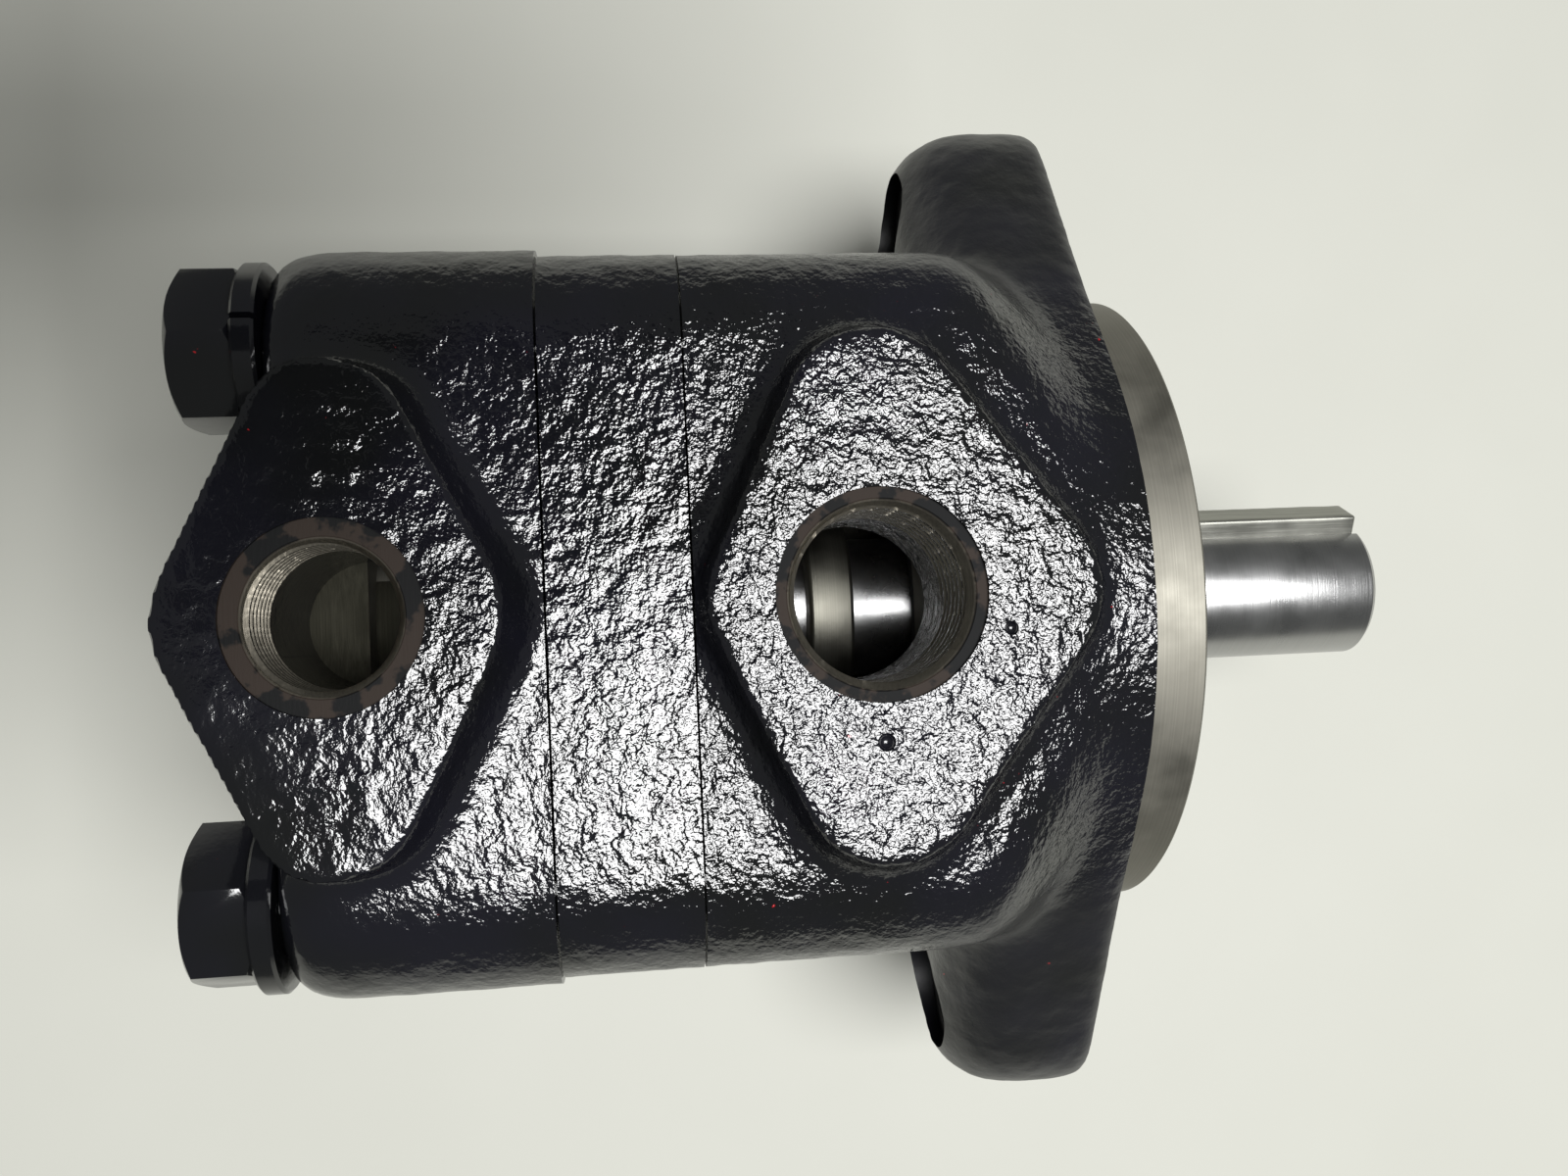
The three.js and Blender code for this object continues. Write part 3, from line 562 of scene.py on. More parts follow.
def kidney(x0, x1, side):
    """A curved slot round the shaft, for oil to reach the rotors from one side."""
    inner, outer, half = 14.5, 20.5, 1.15
    angles = [half * (i / 12 - 1) for i in range(25)]
    arc = [(outer * math.sin(a), side * outer * math.cos(a)) for a in angles]
    arc += [(inner * math.sin(a), side * inner * math.cos(a)) for a in reversed(angles)]
    return extruded(arc, x0, x1)


def ring_groove(face, into):
    """The square groove for an O-ring, cut from a face towards the casting's inside."""
    inner, outer, deep = O_RING_R - 1.5, O_RING_R + 1.5, face + into * 2.1
    return turned([(inner, face - into), (outer, face - into), (outer, deep), (inner, deep)])


# %% [markdown]
# A pipe thread is a groove that climbs. The Screw modifier carries a small flat-topped tooth round
# the port's axis and lifts it by one pitch each turn; with its ends closed it is a solid like any
# other, so it can be cut out of the casting.

# %% Threaded ports
INLET_THREAD = (9.32, 10.15, 1.814)  # core radius, crest radius and pitch
OUTLET_THREAD = (7.48, 8.15, 1.337)
INLET_RIM_R, OUTLET_RIM_R = 11.46, 10.2
INLET_FLOOR, OUTLET_FLOOR = 18, 19
THREAD_TURNS = 7


def thread(x, core, crest, pitch, low, turns):
    """The cutter for an inside thread: a tooth wound round the port's axis."""
    foot = core - 0.4
    tooth = [(foot, 0.04), (foot, 0.94), (core, 0.82), (crest, 0.56), (crest, 0.42), (core, 0.16)]
    piece = wire("thread", [(radius * MM, 0, share * pitch * MM) for radius, share in tooth], closed=True)
    piece.location = at(x, 0, low)
    work(piece, "SCREW", axis="Z", steps=72, render_steps=72, screw_offset=pitch * MM, iterations=turns)
    bpy.ops.object.mode_set(mode="EDIT")
    bpy.ops.mesh.select_all(action="SELECT")
    bpy.ops.mesh.fill_holes(sides=0)
    bpy.ops.object.mode_set(mode="OBJECT")
    return clean(settle(piece))


def port(x, core, crest, pitch, rim, floor, turns):
    """The cutters for a port: its core bore, the thread, the bevel and the shallow machined rim."""
    tools = [
        post(core, floor, PORT_TOP + 2, x),
        thread(x, core, crest, pitch, PORT_TOP - 1.3 - turns * pitch, turns),
        post(core - 0.2, PORT_TOP - 1.7, PORT_TOP - 0.5, x, tip=crest + 0.25),
        post(rim, PORT_TOP - 0.6, PORT_TOP + 4, x),
    ]
    return [coated(tool, PORT_METAL) for tool in tools]


print("cutters ready")

# %% [markdown]
# The inlet body is the big casting. Its square barrel melts into the round flange, whose two ears
# carry the pump, and a diamond pad with a soft rim stands on top. The flange is one hull of discs
# that shrink towards the back, which gives the full round of the real ear, and a second hull lets
# the barrel's corners fade before they meet it.

# %% Inlet body
EAR_PLACE = 53.2
EAR_R = 13.6
EAR_HOLE_R, EAR_SPOT_R, EAR_SPOT_X = 5.55, 8.2, -17
FLANGE_R = 41.9
PILOT_R, PILOT_TIP_R = 41.27, 40.97
PILOT_BEVEL_X, PILOT_END_X = 5.9, 6.2
FLANGE_LAYERS = [(0.0, 1.2), (0.0, -11.5), (1.1, -15.0), (3.4, -18.0), (7.4, -20.5)]  # inset and x


def flange():
    """Discs under the two ears and the middle, wrapped in one skin."""
    discs = []
    for (inset, x), (next_inset, next_x) in zip(FLANGE_LAYERS, FLANGE_LAYERS[1:]):
        for radius, y in ((FLANGE_R, 0), (EAR_R, EAR_PLACE), (EAR_R, -EAR_PLACE)):
            discs.append(bar(radius - next_inset, next_x, x, y, sides=128, tip=radius - inset))
    return hull(*discs)


def inlet_pattern():
    """The pattern: barrel and flange with wide fillets, then the pad with its softer foot."""
    pattern = square_bar(41.45, 12.5, -60, -20)
    join(pattern, hull(square_bar(41.4, 12.5, -22, -19), bar(FLANGE_R, -7, -5, sides=128)))
    join(pattern, flange(), bar(FLANGE_R, -1, 6, sides=128))
    cast(pattern, 0.75, 60, BODY_ENAMEL)
    join(pattern, diamond(INLET_X, 18.0, 23.6, 28.0, 24, PORT_TOP + 3, 9, 9, 5.5))
    cast(pattern, 0.65, 44, BODY_ENAMEL)
    cut(pattern, above(PORT_TOP - 0.12, BODY_ENAMEL))
    return cast(pattern, 0.6, 7, BODY_ENAMEL)


def ear_hole(side):
    """A bolt hole with its counterbore, both slick with run-in enamel."""
    y = side * EAR_PLACE
    tools = [
        bar(EAR_HOLE_R, -30, 5, y, sides=64), bar(6.3, -17.05, -16.2, y, sides=64, tip=5.5),
        bar(EAR_SPOT_R, -30, EAR_SPOT_X, y, sides=96), bar(5.5, -0.7, 0.3, y, sides=64, tip=6.4),
    ]
    return [coated(tool, SMOOTH_ENAMEL) for tool in tools]


def sand_pit(x, y, radius):
    """A small hole that a grain of sand left in the pad."""
    bpy.ops.mesh.primitive_ico_sphere_add(subdivisions=3, radius=radius * MM, location=at(x, y, PORT_TOP))
    return coated(settle(bpy.context.object), SMOOTH_ENAMEL)


def inlet_body():
    """The body casting, faced, with its pilot, port, bores and holes."""
    pattern = roughen(inlet_pattern(), 3.0, 0.26)
    cut(pattern, half_space(-2 * FAR, BODY_SEAM + SEAM_GAP, BARE_IRON), half_space(0, FAR, BODY_ENAMEL))
    join(pattern, *bare(
        bar(PILOT_R, -1, PILOT_BEVEL_X, sides=256),
        bar(PILOT_R, PILOT_BEVEL_X, PILOT_END_X, sides=256, tip=PILOT_TIP_R),
    ))
    cut(pattern, *port(INLET_X, *INLET_THREAD, INLET_RIM_R, INLET_FLOOR, THREAD_TURNS))
    cut(pattern, *bare(
        bar(23.6, -13.1, 9), bar(25.1, 1.4, 3.3), bar(17.7, -23, -12), bar(24.5, -41, -22.5),
        bar(BUSHING_SEAT_R, -60, -40), kidney(-60, -40, -1), ring_groove(BODY_SEAM, 1),
        *at_bolts(lambda y, z: bar(BODY_BOLT_HOLE_R, -60, -23.5, y, z, 48)),
        *at_dowels(lambda y, z: bar(DOWEL_HOLE_R, -60, -45.2, y, z, 32)),
    ))
    cut(pattern, *ear_hole(1), *ear_hole(-1))
    return cut(pattern, sand_pit(-18.3, -4.2, 0.8), sand_pit(-32.4, -15.6, 1.0), sand_pit(-11, 12, 0.6))


fit(inlet_body(), "inlet_body_casting", "housing", "body_enamel", "inlet_body")

# %% [markdown]
# The ring is a slice of square bar with a bore beside the shaft's axis: that small offset is what
# makes the space between the two rotors grow and shrink.

# %% Gerotor ring
ROTOR_OFFSET = 2.5


def gerotor_ring():
    """The ring casting, faced on both sides and bored beside the shaft's axis."""
    pattern = cast(square_bar(41.35, 12.5, COVER_SEAM - 6, BODY_SEAM + 6), 0.6, 6, RING_ENAMEL)
    roughen(pattern, 2.6, 0.22)
    cut(pattern, half_space(-2 * FAR, COVER_SEAM + SEAM_GAP, BARE_IRON))
    cut(pattern, half_space(BODY_SEAM - SEAM_GAP, FAR, BARE_IRON))
    return cut(pattern, *bare(
        bar(28.15, -FAR, 0, -ROTOR_OFFSET, sides=192),
        *at_bolts(lambda y, z: bar(BOLT_HOLE_R, -FAR, 0, y, z, 48)),
        *at_dowels(lambda y, z: bar(DOWEL_HOLE_R, -FAR, 0, y, z, 32)),
    ))


fit(gerotor_ring(), "gerotor_ring_casting", "housing", "ring_enamel", "gerotor_ring")

# %% [markdown]
# The cover closes the stack and carries the outlet. Its pad hangs out past the back face, over a
# round hub, so the pad's walls run steeply down to both, with a deep fillet on the side that faces
# the ring. A little melting rounds the back edges; the front edge keeps a small machined bevel.

# %% Outlet cover
BOLT_FACE_R = 10.9
SKIRT = [(11, 41, 10.5, 0), (9, 40, 4, 17), (9, 40, 4, -17)]  # radius, top, and place from the port


def cover_pattern():
    """The pattern: a square plate with rounded back edges, the hub, and the overhanging pad."""
    pattern = hull(
        square_bar(39.4, 11, COVER_REAR, COVER_REAR + 1),
        square_bar(41.1, 12, COVER_REAR + 1.6, COVER_REAR + 2),
        square_bar(42.0, 12.8, COVER_REAR + 5, COVER_SEAM + 6),
    )
    join(pattern, bar(21, -103.3, COVER_REAR + 5))
    upright = diamond(OUTLET_X - 0.4, 16.5, 16.3, 26.7, 22, PORT_TOP + 3, 7, 10, 0.1)
    skirt = [post(r, 22, top, OUTLET_X + x, y, 64) for r, top, x, y in SKIRT]
    join(pattern, hull(upright, *skirt))
    cast(pattern, 0.6, 40, COVER_ENAMEL)
    cut(pattern, above(PORT_TOP - 0.12, COVER_ENAMEL))
    return cast(pattern, 0.6, 4, COVER_ENAMEL)


def outlet_cover():
    """The cover casting, faced, bevelled at the seam, with its port, bores and holes."""
    pattern = roughen(cover_pattern(), 2.6, 0.22)
    cut(pattern, half_space(COVER_SEAM - SEAM_GAP, FAR, BARE_IRON))
    bevel = hull(
        square_bar(60, 12, -130, COVER_SEAM - 0.8),
        square_bar(41.3, 12.4, COVER_SEAM - 0.2, COVER_SEAM),
    )
    keep_inside(pattern, coated(bevel, COVER_ENAMEL))
    faces = at_bolts(lambda y, z: bar(BOLT_FACE_R, -FAR * 2, COVER_REAR - 0.05, y, z, 64))
    cut(pattern, *(coated(tool, COVER_ENAMEL) for tool in faces))
    cut(pattern, *bare(
        bar(BUSHING_SEAT_R, -88.3, -60), bar(10, -92.5, -60), kidney(-90, -60, 1),
        ring_groove(COVER_SEAM, -1),
        *at_bolts(lambda y, z: bar(BOLT_HOLE_R, -FAR * 2, 0, y, z, 48)),
        *at_dowels(lambda y, z: bar(DOWEL_HOLE_R, -73.8, -60, y, z, 32)),
    ))
    cut(pattern, *port(OUTLET_X, *OUTLET_THREAD, OUTLET_RIM_R, OUTLET_FLOOR, THREAD_TURNS))
    # The port floor and the kidney slot take the darkened passage iron: painted shade for the deep
    # passage.
    return refinish(pattern, PASSAGE_SHADE_IRON, at(OUTLET_X - 7.5, -7.5, 13.5), at(COVER_SEAM, 7.5, 19.1))


fit(outlet_cover(), "outlet_cover_casting", "housing", "cover_enamel", "outlet_cover")

# %% [markdown]
# ## Bolts and lock washers
# Each bolt is one solid: a six-sided bar for the head, whose corners a turned cone trims at both
# ends, and a round shank. The lock washer under it is a turned ring with one slit. Everything was
# painted after assembly, so both carry the enamel.

# %% Hex bolts
HEAD_CORNER = 16.5 / math.sqrt(3)
WASHER_THICK = 2.6
WASHER_BORE_R, WASHER_R = 5.9, 9.9
WASHER_SEAT = COVER_REAR - 0.3
HEAD_SEAT = WASHER_SEAT - WASHER_THICK - 0.1
HEAD_HIGH = 7.1
HEAD_TURNS = (28, 11, 47, 37)  # degrees from +Y to a corner of the head
SLIT_TURNS = (-11, 130, 210, 75)


def cover_bolt(y, z, turn):
    """A hex bolt: a six-sided bar trimmed by a turned crown, with a round shank."""
    crown = HEAD_SEAT - HEAD_HIGH
    trim = turned([
        (0, crown), (7.7, crown), (8.25, crown + 0.12), (9.6, crown + 1.0), (9.6, HEAD_SEAT - 0.6),
        (8.9, HEAD_SEAT), (0, HEAD_SEAT),
    ], 96, y, z)
    head = keep_inside(bar(HEAD_CORNER, crown, HEAD_SEAT, y, z, 6, turn=turn), trim)
    coated(head, BOLT_ENAMEL)
    work(head, "BEVEL", width=0.18 * MM, segments=2, limit_method="ANGLE", angle_limit=math.radians(25))
    shank = turned([
        (0, HEAD_SEAT - 0.5), (5.45, HEAD_SEAT - 0.5), (5.45, -27.2), (4.3, -26), (0, -26),
    ], 64, y, z)
    return join(head, coated(shank, CLIP_STEEL))


def lock_washer(y, z, turn):
    """A split washer: a turned ring with one slit, whose place is given in degrees."""
    front, back, edge = WASHER_SEAT, WASHER_SEAT - WASHER_THICK, 0.35
    ring = turned([
        (WASHER_BORE_R, back), (WASHER_R - edge, back), (WASHER_R, back + edge),
        (WASHER_R, front - edge), (WASHER_R - edge, front), (WASHER_BORE_R, front),
    ], 96, y, z)
    coated(ring, BOLT_ENAMEL)
    slit = block((back - 1, front + 1), (-0.35, 0.35), (4, 12), turn, (y, z))
    return cut(ring, coated(slit, BOLT_ENAMEL))


BOLT_PLACES = at_bolts(lambda y, z: (y, z))
bolts = [cover_bolt(*place, turn) for place, turn in zip(BOLT_PLACES, HEAD_TURNS)]
washers = [lock_washer(*place, turn) for place, turn in zip(BOLT_PLACES, SLIT_TURNS)]
for number, (bolt, washer) in enumerate(zip(bolts, washers), 1):
    fit(bolt, f"hex_bolt_{number}", "housing", "bolt_enamel", f"cover_bolt_{number}", angle=28)
    fit(washer, f"split_washer_{number}", "housing", "washer_enamel", f"lock_washer_{number}")

# %% [markdown]
# ## The shaft and what turns with it
# The shaft is one turned bar with a shoulder for the bearing, a groove for its snap ring, a centre
# drilling in the end and a keyway milled along the top. The key is drawn bar: its long edges are
# broken and its end is a little bruised from the hammer.

# %% Drive shaft
SHAFT_R = 9.525
SHAFT_END = 45.5
KEY_TURN = -64.2
KEY_HALF = 2.38
KEY_X0, KEY_X1, KEY_TOP = 18, 44, 11.86


def drive_shaft():
    """The shaft from its rear end to the centre drilling, with both keyways milled."""
    shaft = turned([
        (0, -91), (8.6, -91), (9.5, -90.1), (9.5, -14.0), (12, -14.0), (12, -13.1), (9.85, -13.1),
        (9.85, 1.45), (9.0, 1.45), (9.0, 3.3), (SHAFT_R, 3.3), (SHAFT_R, SHAFT_END - 0.9),
        (8.63, SHAFT_END - 0.02), (2.6, SHAFT_END), (1.3, SHAFT_END - 2.3), (1.3, SHAFT_END - 4),
        (0, SHAFT_END - 4.8),
    ], 160)
    coated(shaft, GROUND_STEEL)
    work(shaft, "BEVEL", width=0.12 * MM, segments=2, limit_method="ANGLE", angle_limit=math.radians(30))
    keyway = block((17.7, 60), (-KEY_HALF - 0.02, KEY_HALF + 0.02), (7.0, 14), KEY_TURN)
    rotor_keyway = block((-67.3, -52.1), (-KEY_HALF, KEY_HALF), (7.0, 14), 90)
    return cut(shaft, coated(keyway, KEY_STEEL), coated(rotor_keyway, KEY_STEEL))


fit(drive_shaft(), "drive_shaft_turned", "rotating_group", "ground_steel", "drive_shaft")


# %% Keys and collar
def key(x0, x1, half, low, high, turn, edge):
    """A piece of key steel standing in its keyway, its edges broken all round."""
    piece = coated(block((x0, x1), (-half, half), (low, high), turn), KEY_STEEL)
    work(piece, "BEVEL", width=edge * MM, segments=3, limit_method="ANGLE", angle_limit=math.radians(60))
    return piece


shaft_key = key(KEY_X0, KEY_X1, KEY_HALF, 7.1, KEY_TOP, KEY_TURN, 0.4)
work(shaft_key, "SUBSURF", levels=4, render_levels=4, subdivision_type="SIMPLE")
roughen(shaft_key, 1.6, 0.10)
fit(shaft_key, "shaft_key_bar", "rotating_group", "key_steel", "shaft_key")
rotor_key = key(-66.7, -52.7, 2.3, 7.25, 11.4, 90, 0.3)
fit(rotor_key, "rotor_key_bar", "rotating_group", "key_steel", "rotor_key")
collar = turned([
    (9.7, -35.4), (13.6, -35.4), (14, -35.0), (14, -30.0), (13.6, -29.6), (9.7, -29.6),
], 160)
work(coated(collar, TURNED_STEEL), "BEVEL", width=0.15 * MM, segments=2, limit_method="ANGLE")
fit(collar, "thrust_collar", "rotating_group", "turned_steel", "shaft_collar")

# %% [markdown]
# ## The rotors
# Seven round lobes are cut into the outer rotor, and the inner rotor has one lobe fewer. Its
# outline is the curve that stays just clear of all seven as it rolls: a point on the lobe circle,
# pushed out by the offset seven times as fast, and then moved in by the lobe's radius.

# %% Inner and outer rotor
OUTER_LOBES = 7
LOBE_CIRCLE, LOBE_R, PLAY = 24.0, 8.0, 0.12
ROTOR_X = (-67.3, -52.1)
OUTLINE_STEPS = 336


def rotor_outline():
    """Points of the six-lobed outline round the shaft."""
    points = []
    for i in range(OUTLINE_STEPS):
        a = math.tau * i / OUTLINE_STEPS
        b = OUTER_LOBES * a
        slope = Vector((LOBE_CIRCLE * math.cos(a) + OUTER_LOBES * ROTOR_OFFSET * math.cos(b),
                        LOBE_CIRCLE * math.sin(a) + OUTER_LOBES * ROTOR_OFFSET * math.sin(b))).normalized()
        centre = Vector((LOBE_CIRCLE * math.cos(a) + ROTOR_OFFSET * math.cos(b),
                         LOBE_CIRCLE * math.sin(a) + ROTOR_OFFSET * math.sin(b)))
        points.append(-(centre - slope * (LOBE_R + PLAY)))
    return points


def inner_rotor():
    """The six-lobed rotor with its bore and keyway."""
    rotor = coated(extruded(rotor_outline(), *ROTOR_X), SINTERED_STEEL)
    slot = block((-70, -50), (-2.5, 2.5), (0, 11.6), 90)
    return cut(rotor, *(coated(tool, SINTERED_STEEL) for tool in (bar(9.7, -70, -50, sides=96), slot)))


def outer_rotor():
    """The ring rotor: a disc less a round hollow from which the seven lobes were cut."""
    hollow = bar(21.3, -70, -50, -ROTOR_OFFSET, sides=192)
    for i in range(OUTER_LOBES):
        a = math.pi + math.tau * i / OUTER_LOBES
        place = (LOBE_CIRCLE * math.cos(a) - ROTOR_OFFSET, LOBE_CIRCLE * math.sin(a))
        cut(hollow, bar(LOBE_R, -75, -45, *place, sides=96))
    rotor = coated(bar(28, *ROTOR_X, -ROTOR_OFFSET, sides=192), SINTERED_STEEL)
    return cut(rotor, coated(hollow, SINTERED_STEEL))


fit(inner_rotor(), "inner_rotor_sintered", "rotating_group", "sintered_steel", "inner_rotor")
fit(outer_rotor(), "outer_rotor_sintered", "ring_gear", "sintered_steel", "outer_rotor")

# %% [markdown]
# ## The front bearing
# A deep-groove ball bearing: two rings whose grooves are arcs a little wider than the balls, a
# brass cage whose pockets are cut by slightly larger balls, and the balls, each an arc spun round
# its own line beside the shaft.

# %% Races, cage and balls
BEARING_X = (-12.8, 1.2)
BEARING_MIDDLE = sum(BEARING_X) / 2
BALL_CIRCLE, BALL_R, BALLS = 16.75, 3.97, 8
GROOVE_R, POCKET_R = 4.17, 4.15


def race(back, side):
    """One ring of the bearing: back is the radius of its fit, side +1 for the outer ring."""
    land = BALL_CIRCLE + side * 2.2
    arc = [math.radians(angle) for angle in range(-56, 57, 8)]
    groove = [
        (BALL_CIRCLE + side * GROOVE_R * math.cos(a), BEARING_MIDDLE + GROOVE_R * math.sin(a)) for a in arc
    ]
    x0, x1 = BEARING_X
    edge = 0.6
    inner = back - side * edge
    return coated(turned([
        (inner, x0), (land, x0), *groove, (land, x1), (inner, x1), (back, x1 - edge), (back, x0 + edge),
    ]), BEARING_STEEL)


def ball(radius, number):
    """A ball at its place in the train, closed on its own line at both ends."""
    a = math.tau * (number + 0.5) / BALLS
    arc = [math.pi * i / 20 for i in range(21)]
    profile = [(radius * math.sin(t), BEARING_MIDDLE - radius * math.cos(t)) for t in arc]
    profile[0] = (0, profile[0][1])
    profile[-1] = (0, profile[-1][1])
    return turned(profile, 40, BALL_CIRCLE * math.cos(a), BALL_CIRCLE * math.sin(a))


def cage():
    """A plain ring with one round pocket for each ball."""
    ring = turned([
        (BALL_CIRCLE - 1.4, BEARING_MIDDLE - 5.3), (BALL_CIRCLE + 1.4, BEARING_MIDDLE - 5.3),
        (BALL_CIRCLE + 1.4, BEARING_MIDDLE + 5.3), (BALL_CIRCLE - 1.4, BEARING_MIDDLE + 5.3),
    ])
    return cut(coated(ring, CAGE_BRASS), *(coated(ball(POCKET_R, i), CAGE_BRASS) for i in range(BALLS)))


fit(race(23.5, 1), "bearing_outer_ring", "housing", "bearing_steel", "bearing_outer_race")
fit(race(10.0, -1), "bearing_inner_ring", "rotating_group", "bearing_steel", "bearing_inner_race")
fit(cage(), "bearing_ball_cage", "ball_train", "cage_brass", "bearing_cage")
for i in range(BALLS):
    steel_ball = coated(ball(BALL_R, i), BEARING_STEEL)
    fit(steel_ball, f"steel_ball_{i + 1}", "ball_train", "bearing_steel", f"bearing_ball_{i + 1}")


# %% Snap rings
def snap_ring(inner, outer, x0, x1, lug_circle, opening, lean):
    """An open ring with a drilled lug at each end; opening and lean are angles in degrees."""
    half = math.radians(opening / 2)
    ring = turned([(inner, x0), (outer, x0), (outer, x1), (inner, x1)])
    reach = 2 * outer
    wide, high = reach * math.sin(half), reach * math.cos(half)
    gap = [(0, 0), (wide, high), (-wide, high)]
    lugs, holes = [], []
    for side in (-1, 1):
        a = side * (half + math.radians(lean))
        place = (lug_circle * math.sin(a), lug_circle * math.cos(a))
        lugs.append(bar(2, x0, x1, *place, sides=48))
        holes.append(bar(0.9, x0 - 1, x1 + 1, *place, sides=32))
    join(ring, *lugs)
    coated(ring, CLIP_STEEL)
    return cut(ring, *(coated(tool, CLIP_STEEL) for tool in (extruded(gap, x0 - 1, x1 + 1), *holes)))


body_clip = snap_ring(21.6, 24.9, 1.5, 3.1, 20.9, 25.8, 6.9)
fit(body_clip, "bearing_snap_ring", "housing", "spring_steel", "body_snap_ring")
shaft_clip = snap_ring(9.15, 12, 1.6, 2.8, 12.4, 45.8, 6.9)
fit(shaft_clip, "shaft_clip", "rotating_group", "spring_steel", "shaft_snap_ring")

# %% [markdown]
# ## Seal, bushings, O-rings and dowels
# The last pieces hide inside, but they are what keeps oil in and the shaft true: a lip seal with its
# pressed case and coil spring, two plain bushings with a rolled seam, two O-rings and two dowels.

# %% Shaft seal
seal_case = turned([
    (17.5, -22.2), (17.5, -15.1), (17.0, -14.6), (13, -14.6), (13, -15.8), (16.3, -15.8), (16.3, -22.2),
])
work(coated(seal_case, SEAL_STEEL), "BEVEL", width=0.12 * MM, segments=2, limit_method="ANGLE")
fit(seal_case, "seal_case_pressed", "housing", "seal_case_steel", "seal_case")
seal_lip = turned([
    (16.0, -16.1), (16.0, -17.9), (12.9, -17.9), (12.5, -18.9), (12.9, -21.4), (10.8, -21.4), (9.8, -19.8),
    (10.3, -18.4), (10.5, -16.1),
])
work(coated(seal_lip, SEAL_RUBBER), "BEVEL", width=0.2 * MM, segments=3, limit_method="ANGLE")
fit(seal_lip, "seal_lip_rubber", "housing", "seal_rubber", "seal_lip")


def coil_ring(ring_r, wire_r, x, coils, wire_thick):
    """A closed coil spring lying round the shaft, drawn as one wire and skinned."""
    steps = coils * 8
    places = []
    for i in range(steps):
        around, twist = math.tau * i / steps, math.tau * i / 8
        radius = ring_r + wire_r * math.cos(twist)
        along = x + wire_r * math.sin(twist)
        places.append(at(along, radius * math.cos(around), radius * math.sin(around)))
    piece = wire("coil_ring", places, closed=True)
    bpy.ops.object.convert(target="CURVE")
    piece = bpy.context.object
    piece.data.bevel_depth = wire_thick * MM / 2
    piece.data.bevel_resolution = 0
    bpy.ops.object.convert(target="MESH")
    return clean(coated(bpy.context.object, CLIP_STEEL))


garter = coil_ring(14.1, 0.6, -20.6, 150, 0.34)
fit(garter, "seal_garter_spring", "housing", "spring_steel", "garter_spring", angle=60)


# %% Bushings, O-rings and dowels
def bushing(x0, x1):
    """A rolled bronze sleeve with its seam and an oil groove."""
    bore, outside, edge = 9.75, 12, 0.4
    sleeve = turned([
        (bore + edge, x0), (outside - edge, x0), (outside, x0 + edge), (outside, x1 - edge),
        (outside - edge, x1), (bore + edge, x1), (bore, x1 - edge), (bore, x0 + edge),
    ])
    seam = block((x0 - 1, x1 + 1), (-0.1, 0.1), (8, 14), 140)
    middle = (x0 + x1) / 2
    groove = turned([(8, middle - 0.9), (10.2, middle - 0.6), (10.2, middle + 0.6), (8, middle + 0.9)])
    return cut(coated(sleeve, BRONZE), coated(seam, BRONZE), coated(groove, BRONZE))


def o_ring(x):
    """A round cord ring, squeezed a little flat against its seam, with its mould line."""
    outline = []
    for i in range(24):
        a = math.tau * i / 24
        cord_r = 1.03 if i % 12 == 0 else 1.0  # the mould line runs round the inside and the outside
        outline.append((O_RING_R + cord_r * math.cos(a), x + 0.9 * math.sin(a)))
    return coated(turned(outline), RING_RUBBER)


def dowel(y, z):
    """A ground pin with rounded ends."""
    return coated(turned([
        (0, -73.6), (1.3, -73.6), (1.85, -73.2), (2, -72.6),
        (2, -46.8), (1.85, -46.2), (1.3, -45.8), (0, -45.8),
    ], 48, y, z), DOWEL_STEEL)


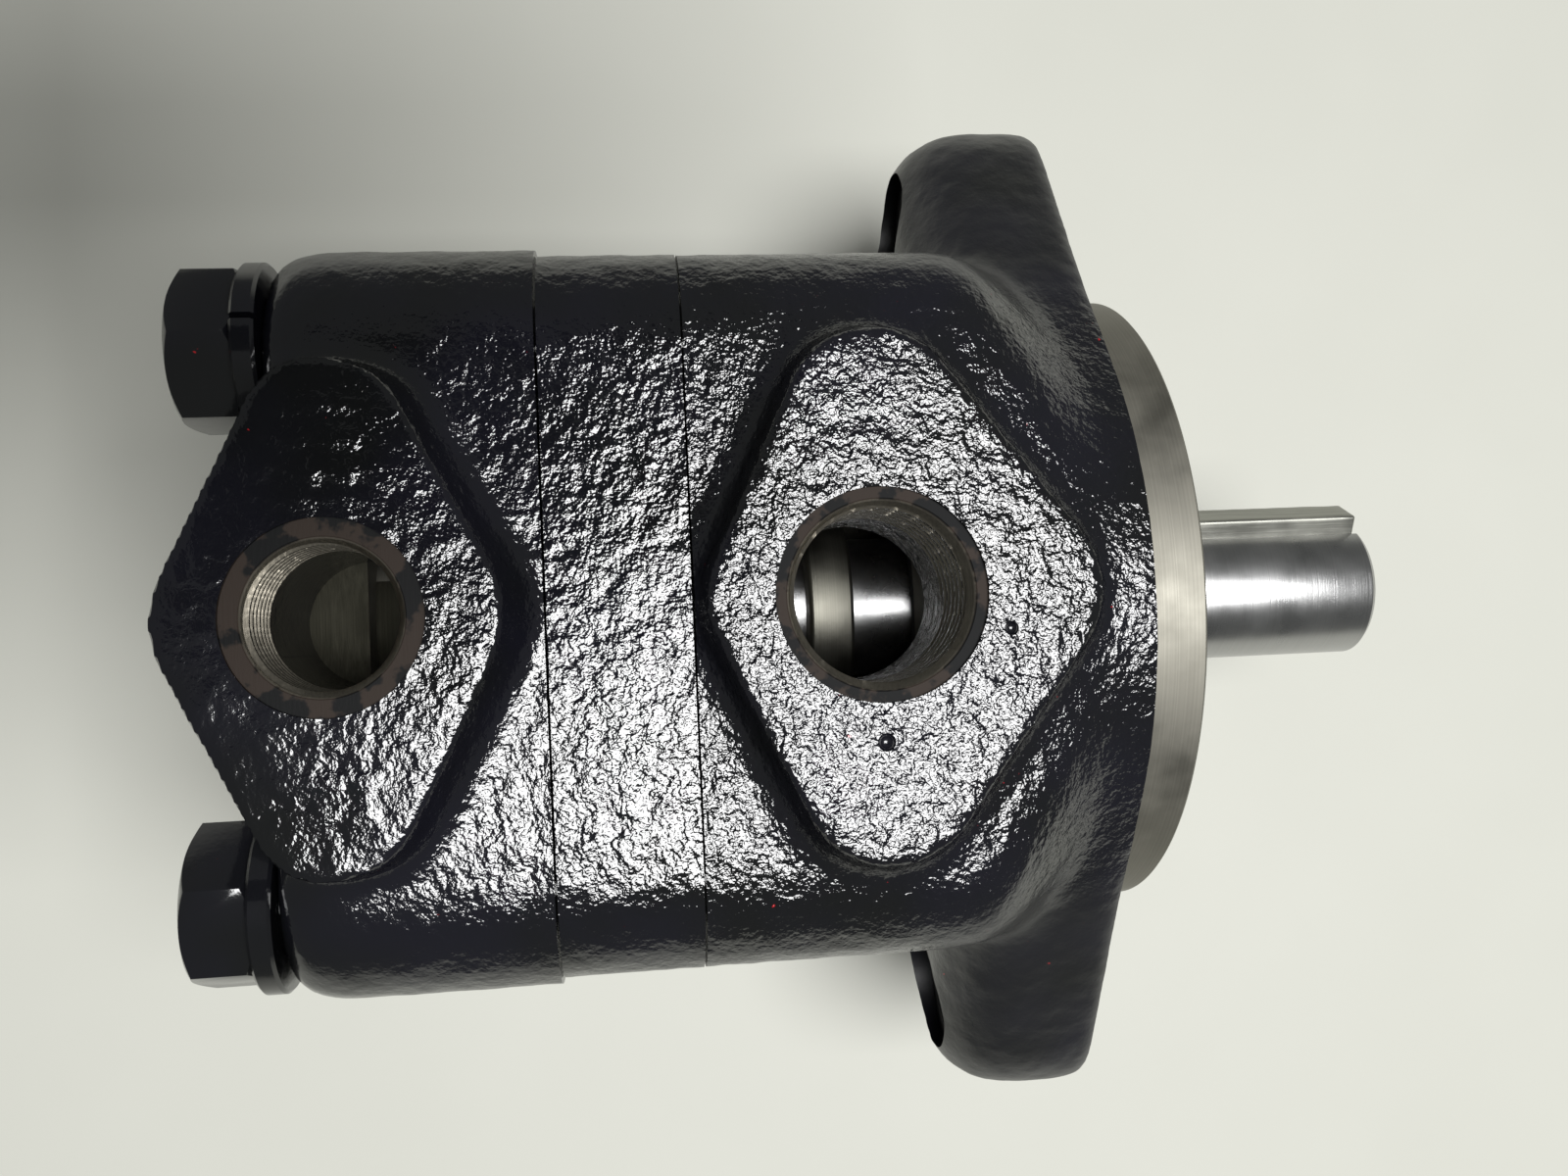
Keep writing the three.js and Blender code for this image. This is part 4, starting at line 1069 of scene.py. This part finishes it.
fit(bushing(-51.3, -41.5), "body_bushing_rolled", "housing", "bushing_bronze", "body_bushing")
fit(bushing(-88.0, -68.1), "cover_bushing_rolled", "housing", "bushing_bronze", "cover_bushing")
fit(o_ring(BODY_SEAM + 1.2), "body_o_ring_cord", "housing", "o_ring_rubber", "body_o_ring")
fit(o_ring(COVER_SEAM - 1.2), "cover_o_ring_cord", "housing", "o_ring_rubber", "cover_o_ring")
for number, pin in enumerate(at_dowels(dowel), 1):
    fit(pin, f"dowel_pin_ground_{number}", "housing", "dowel_steel", f"dowel_pin_{number}")

# %% [markdown]
# ## Bench and light
# A pale bench, one broad ceiling panel and a dim room. Black gloss enamel is seen by what it
# reflects, so the panel's edges decide where the skin glitters and where it stays ink black. The
# dark card stands in for the phone that is held over the pump: it keeps the light off one side.

# %% Bench
bpy.ops.mesh.primitive_plane_add(size=6, location=(0, 0, 0))
bench = bpy.context.object
bench.name = "bench_top"
bench_material, bench_tree, bench_shader = new_material("bench_paint", Roughness=0.6)
bench_grain = noise(bench_tree, piece_place(bench_tree), 30.0, 3.0)
bench_colour = mix_colour(bench_tree, bench_grain, (0.450, 0.452, 0.405, 1), (0.475, 0.477, 0.430, 1))
bench_tree.links.new(bench_colour, bench_shader.inputs["Base Color"])
bench.data.materials.append(bench_material)


# %% Ceiling panel, card and room
def lamp(name, place, aim, width, depth, power):
    """A rectangular light at a place, turned towards a point."""
    data = bpy.data.lights.new(name, "AREA")
    data.shape = "RECTANGLE"
    data.size, data.size_y = width, depth
    data.energy = power
    made = bpy.data.objects.new(name, data)
    bpy.context.scene.collection.objects.link(made)
    made.location = place
    made.rotation_euler = (aim - place).to_track_quat("-Z", "Y").to_euler()


lamp("ceiling_panel", at(165, -100, 1195), at(165, -100, 0), 0.76, 0.54, 24.5)

card = block((-160, -43), (2, 92), (193, 195))
card.name = "phone_card"
card_material, _, card_shader = new_material("card_black", Roughness=0.9)
card_shader.inputs["Base Color"].default_value = (0.01, 0.01, 0.01, 1)
coated(card, card_material)
card.visible_camera = False

world = bpy.data.worlds.new("room")
bpy.context.scene.world = world
world.use_nodes = True
background = world.node_tree.nodes["Background"]
background.inputs["Color"].default_value = (0.97, 1.0, 0.97, 1)
background.inputs["Strength"].default_value = 0.13
bpy.context.scene.view_settings.view_transform = "Standard"

# %% Importing json
import json
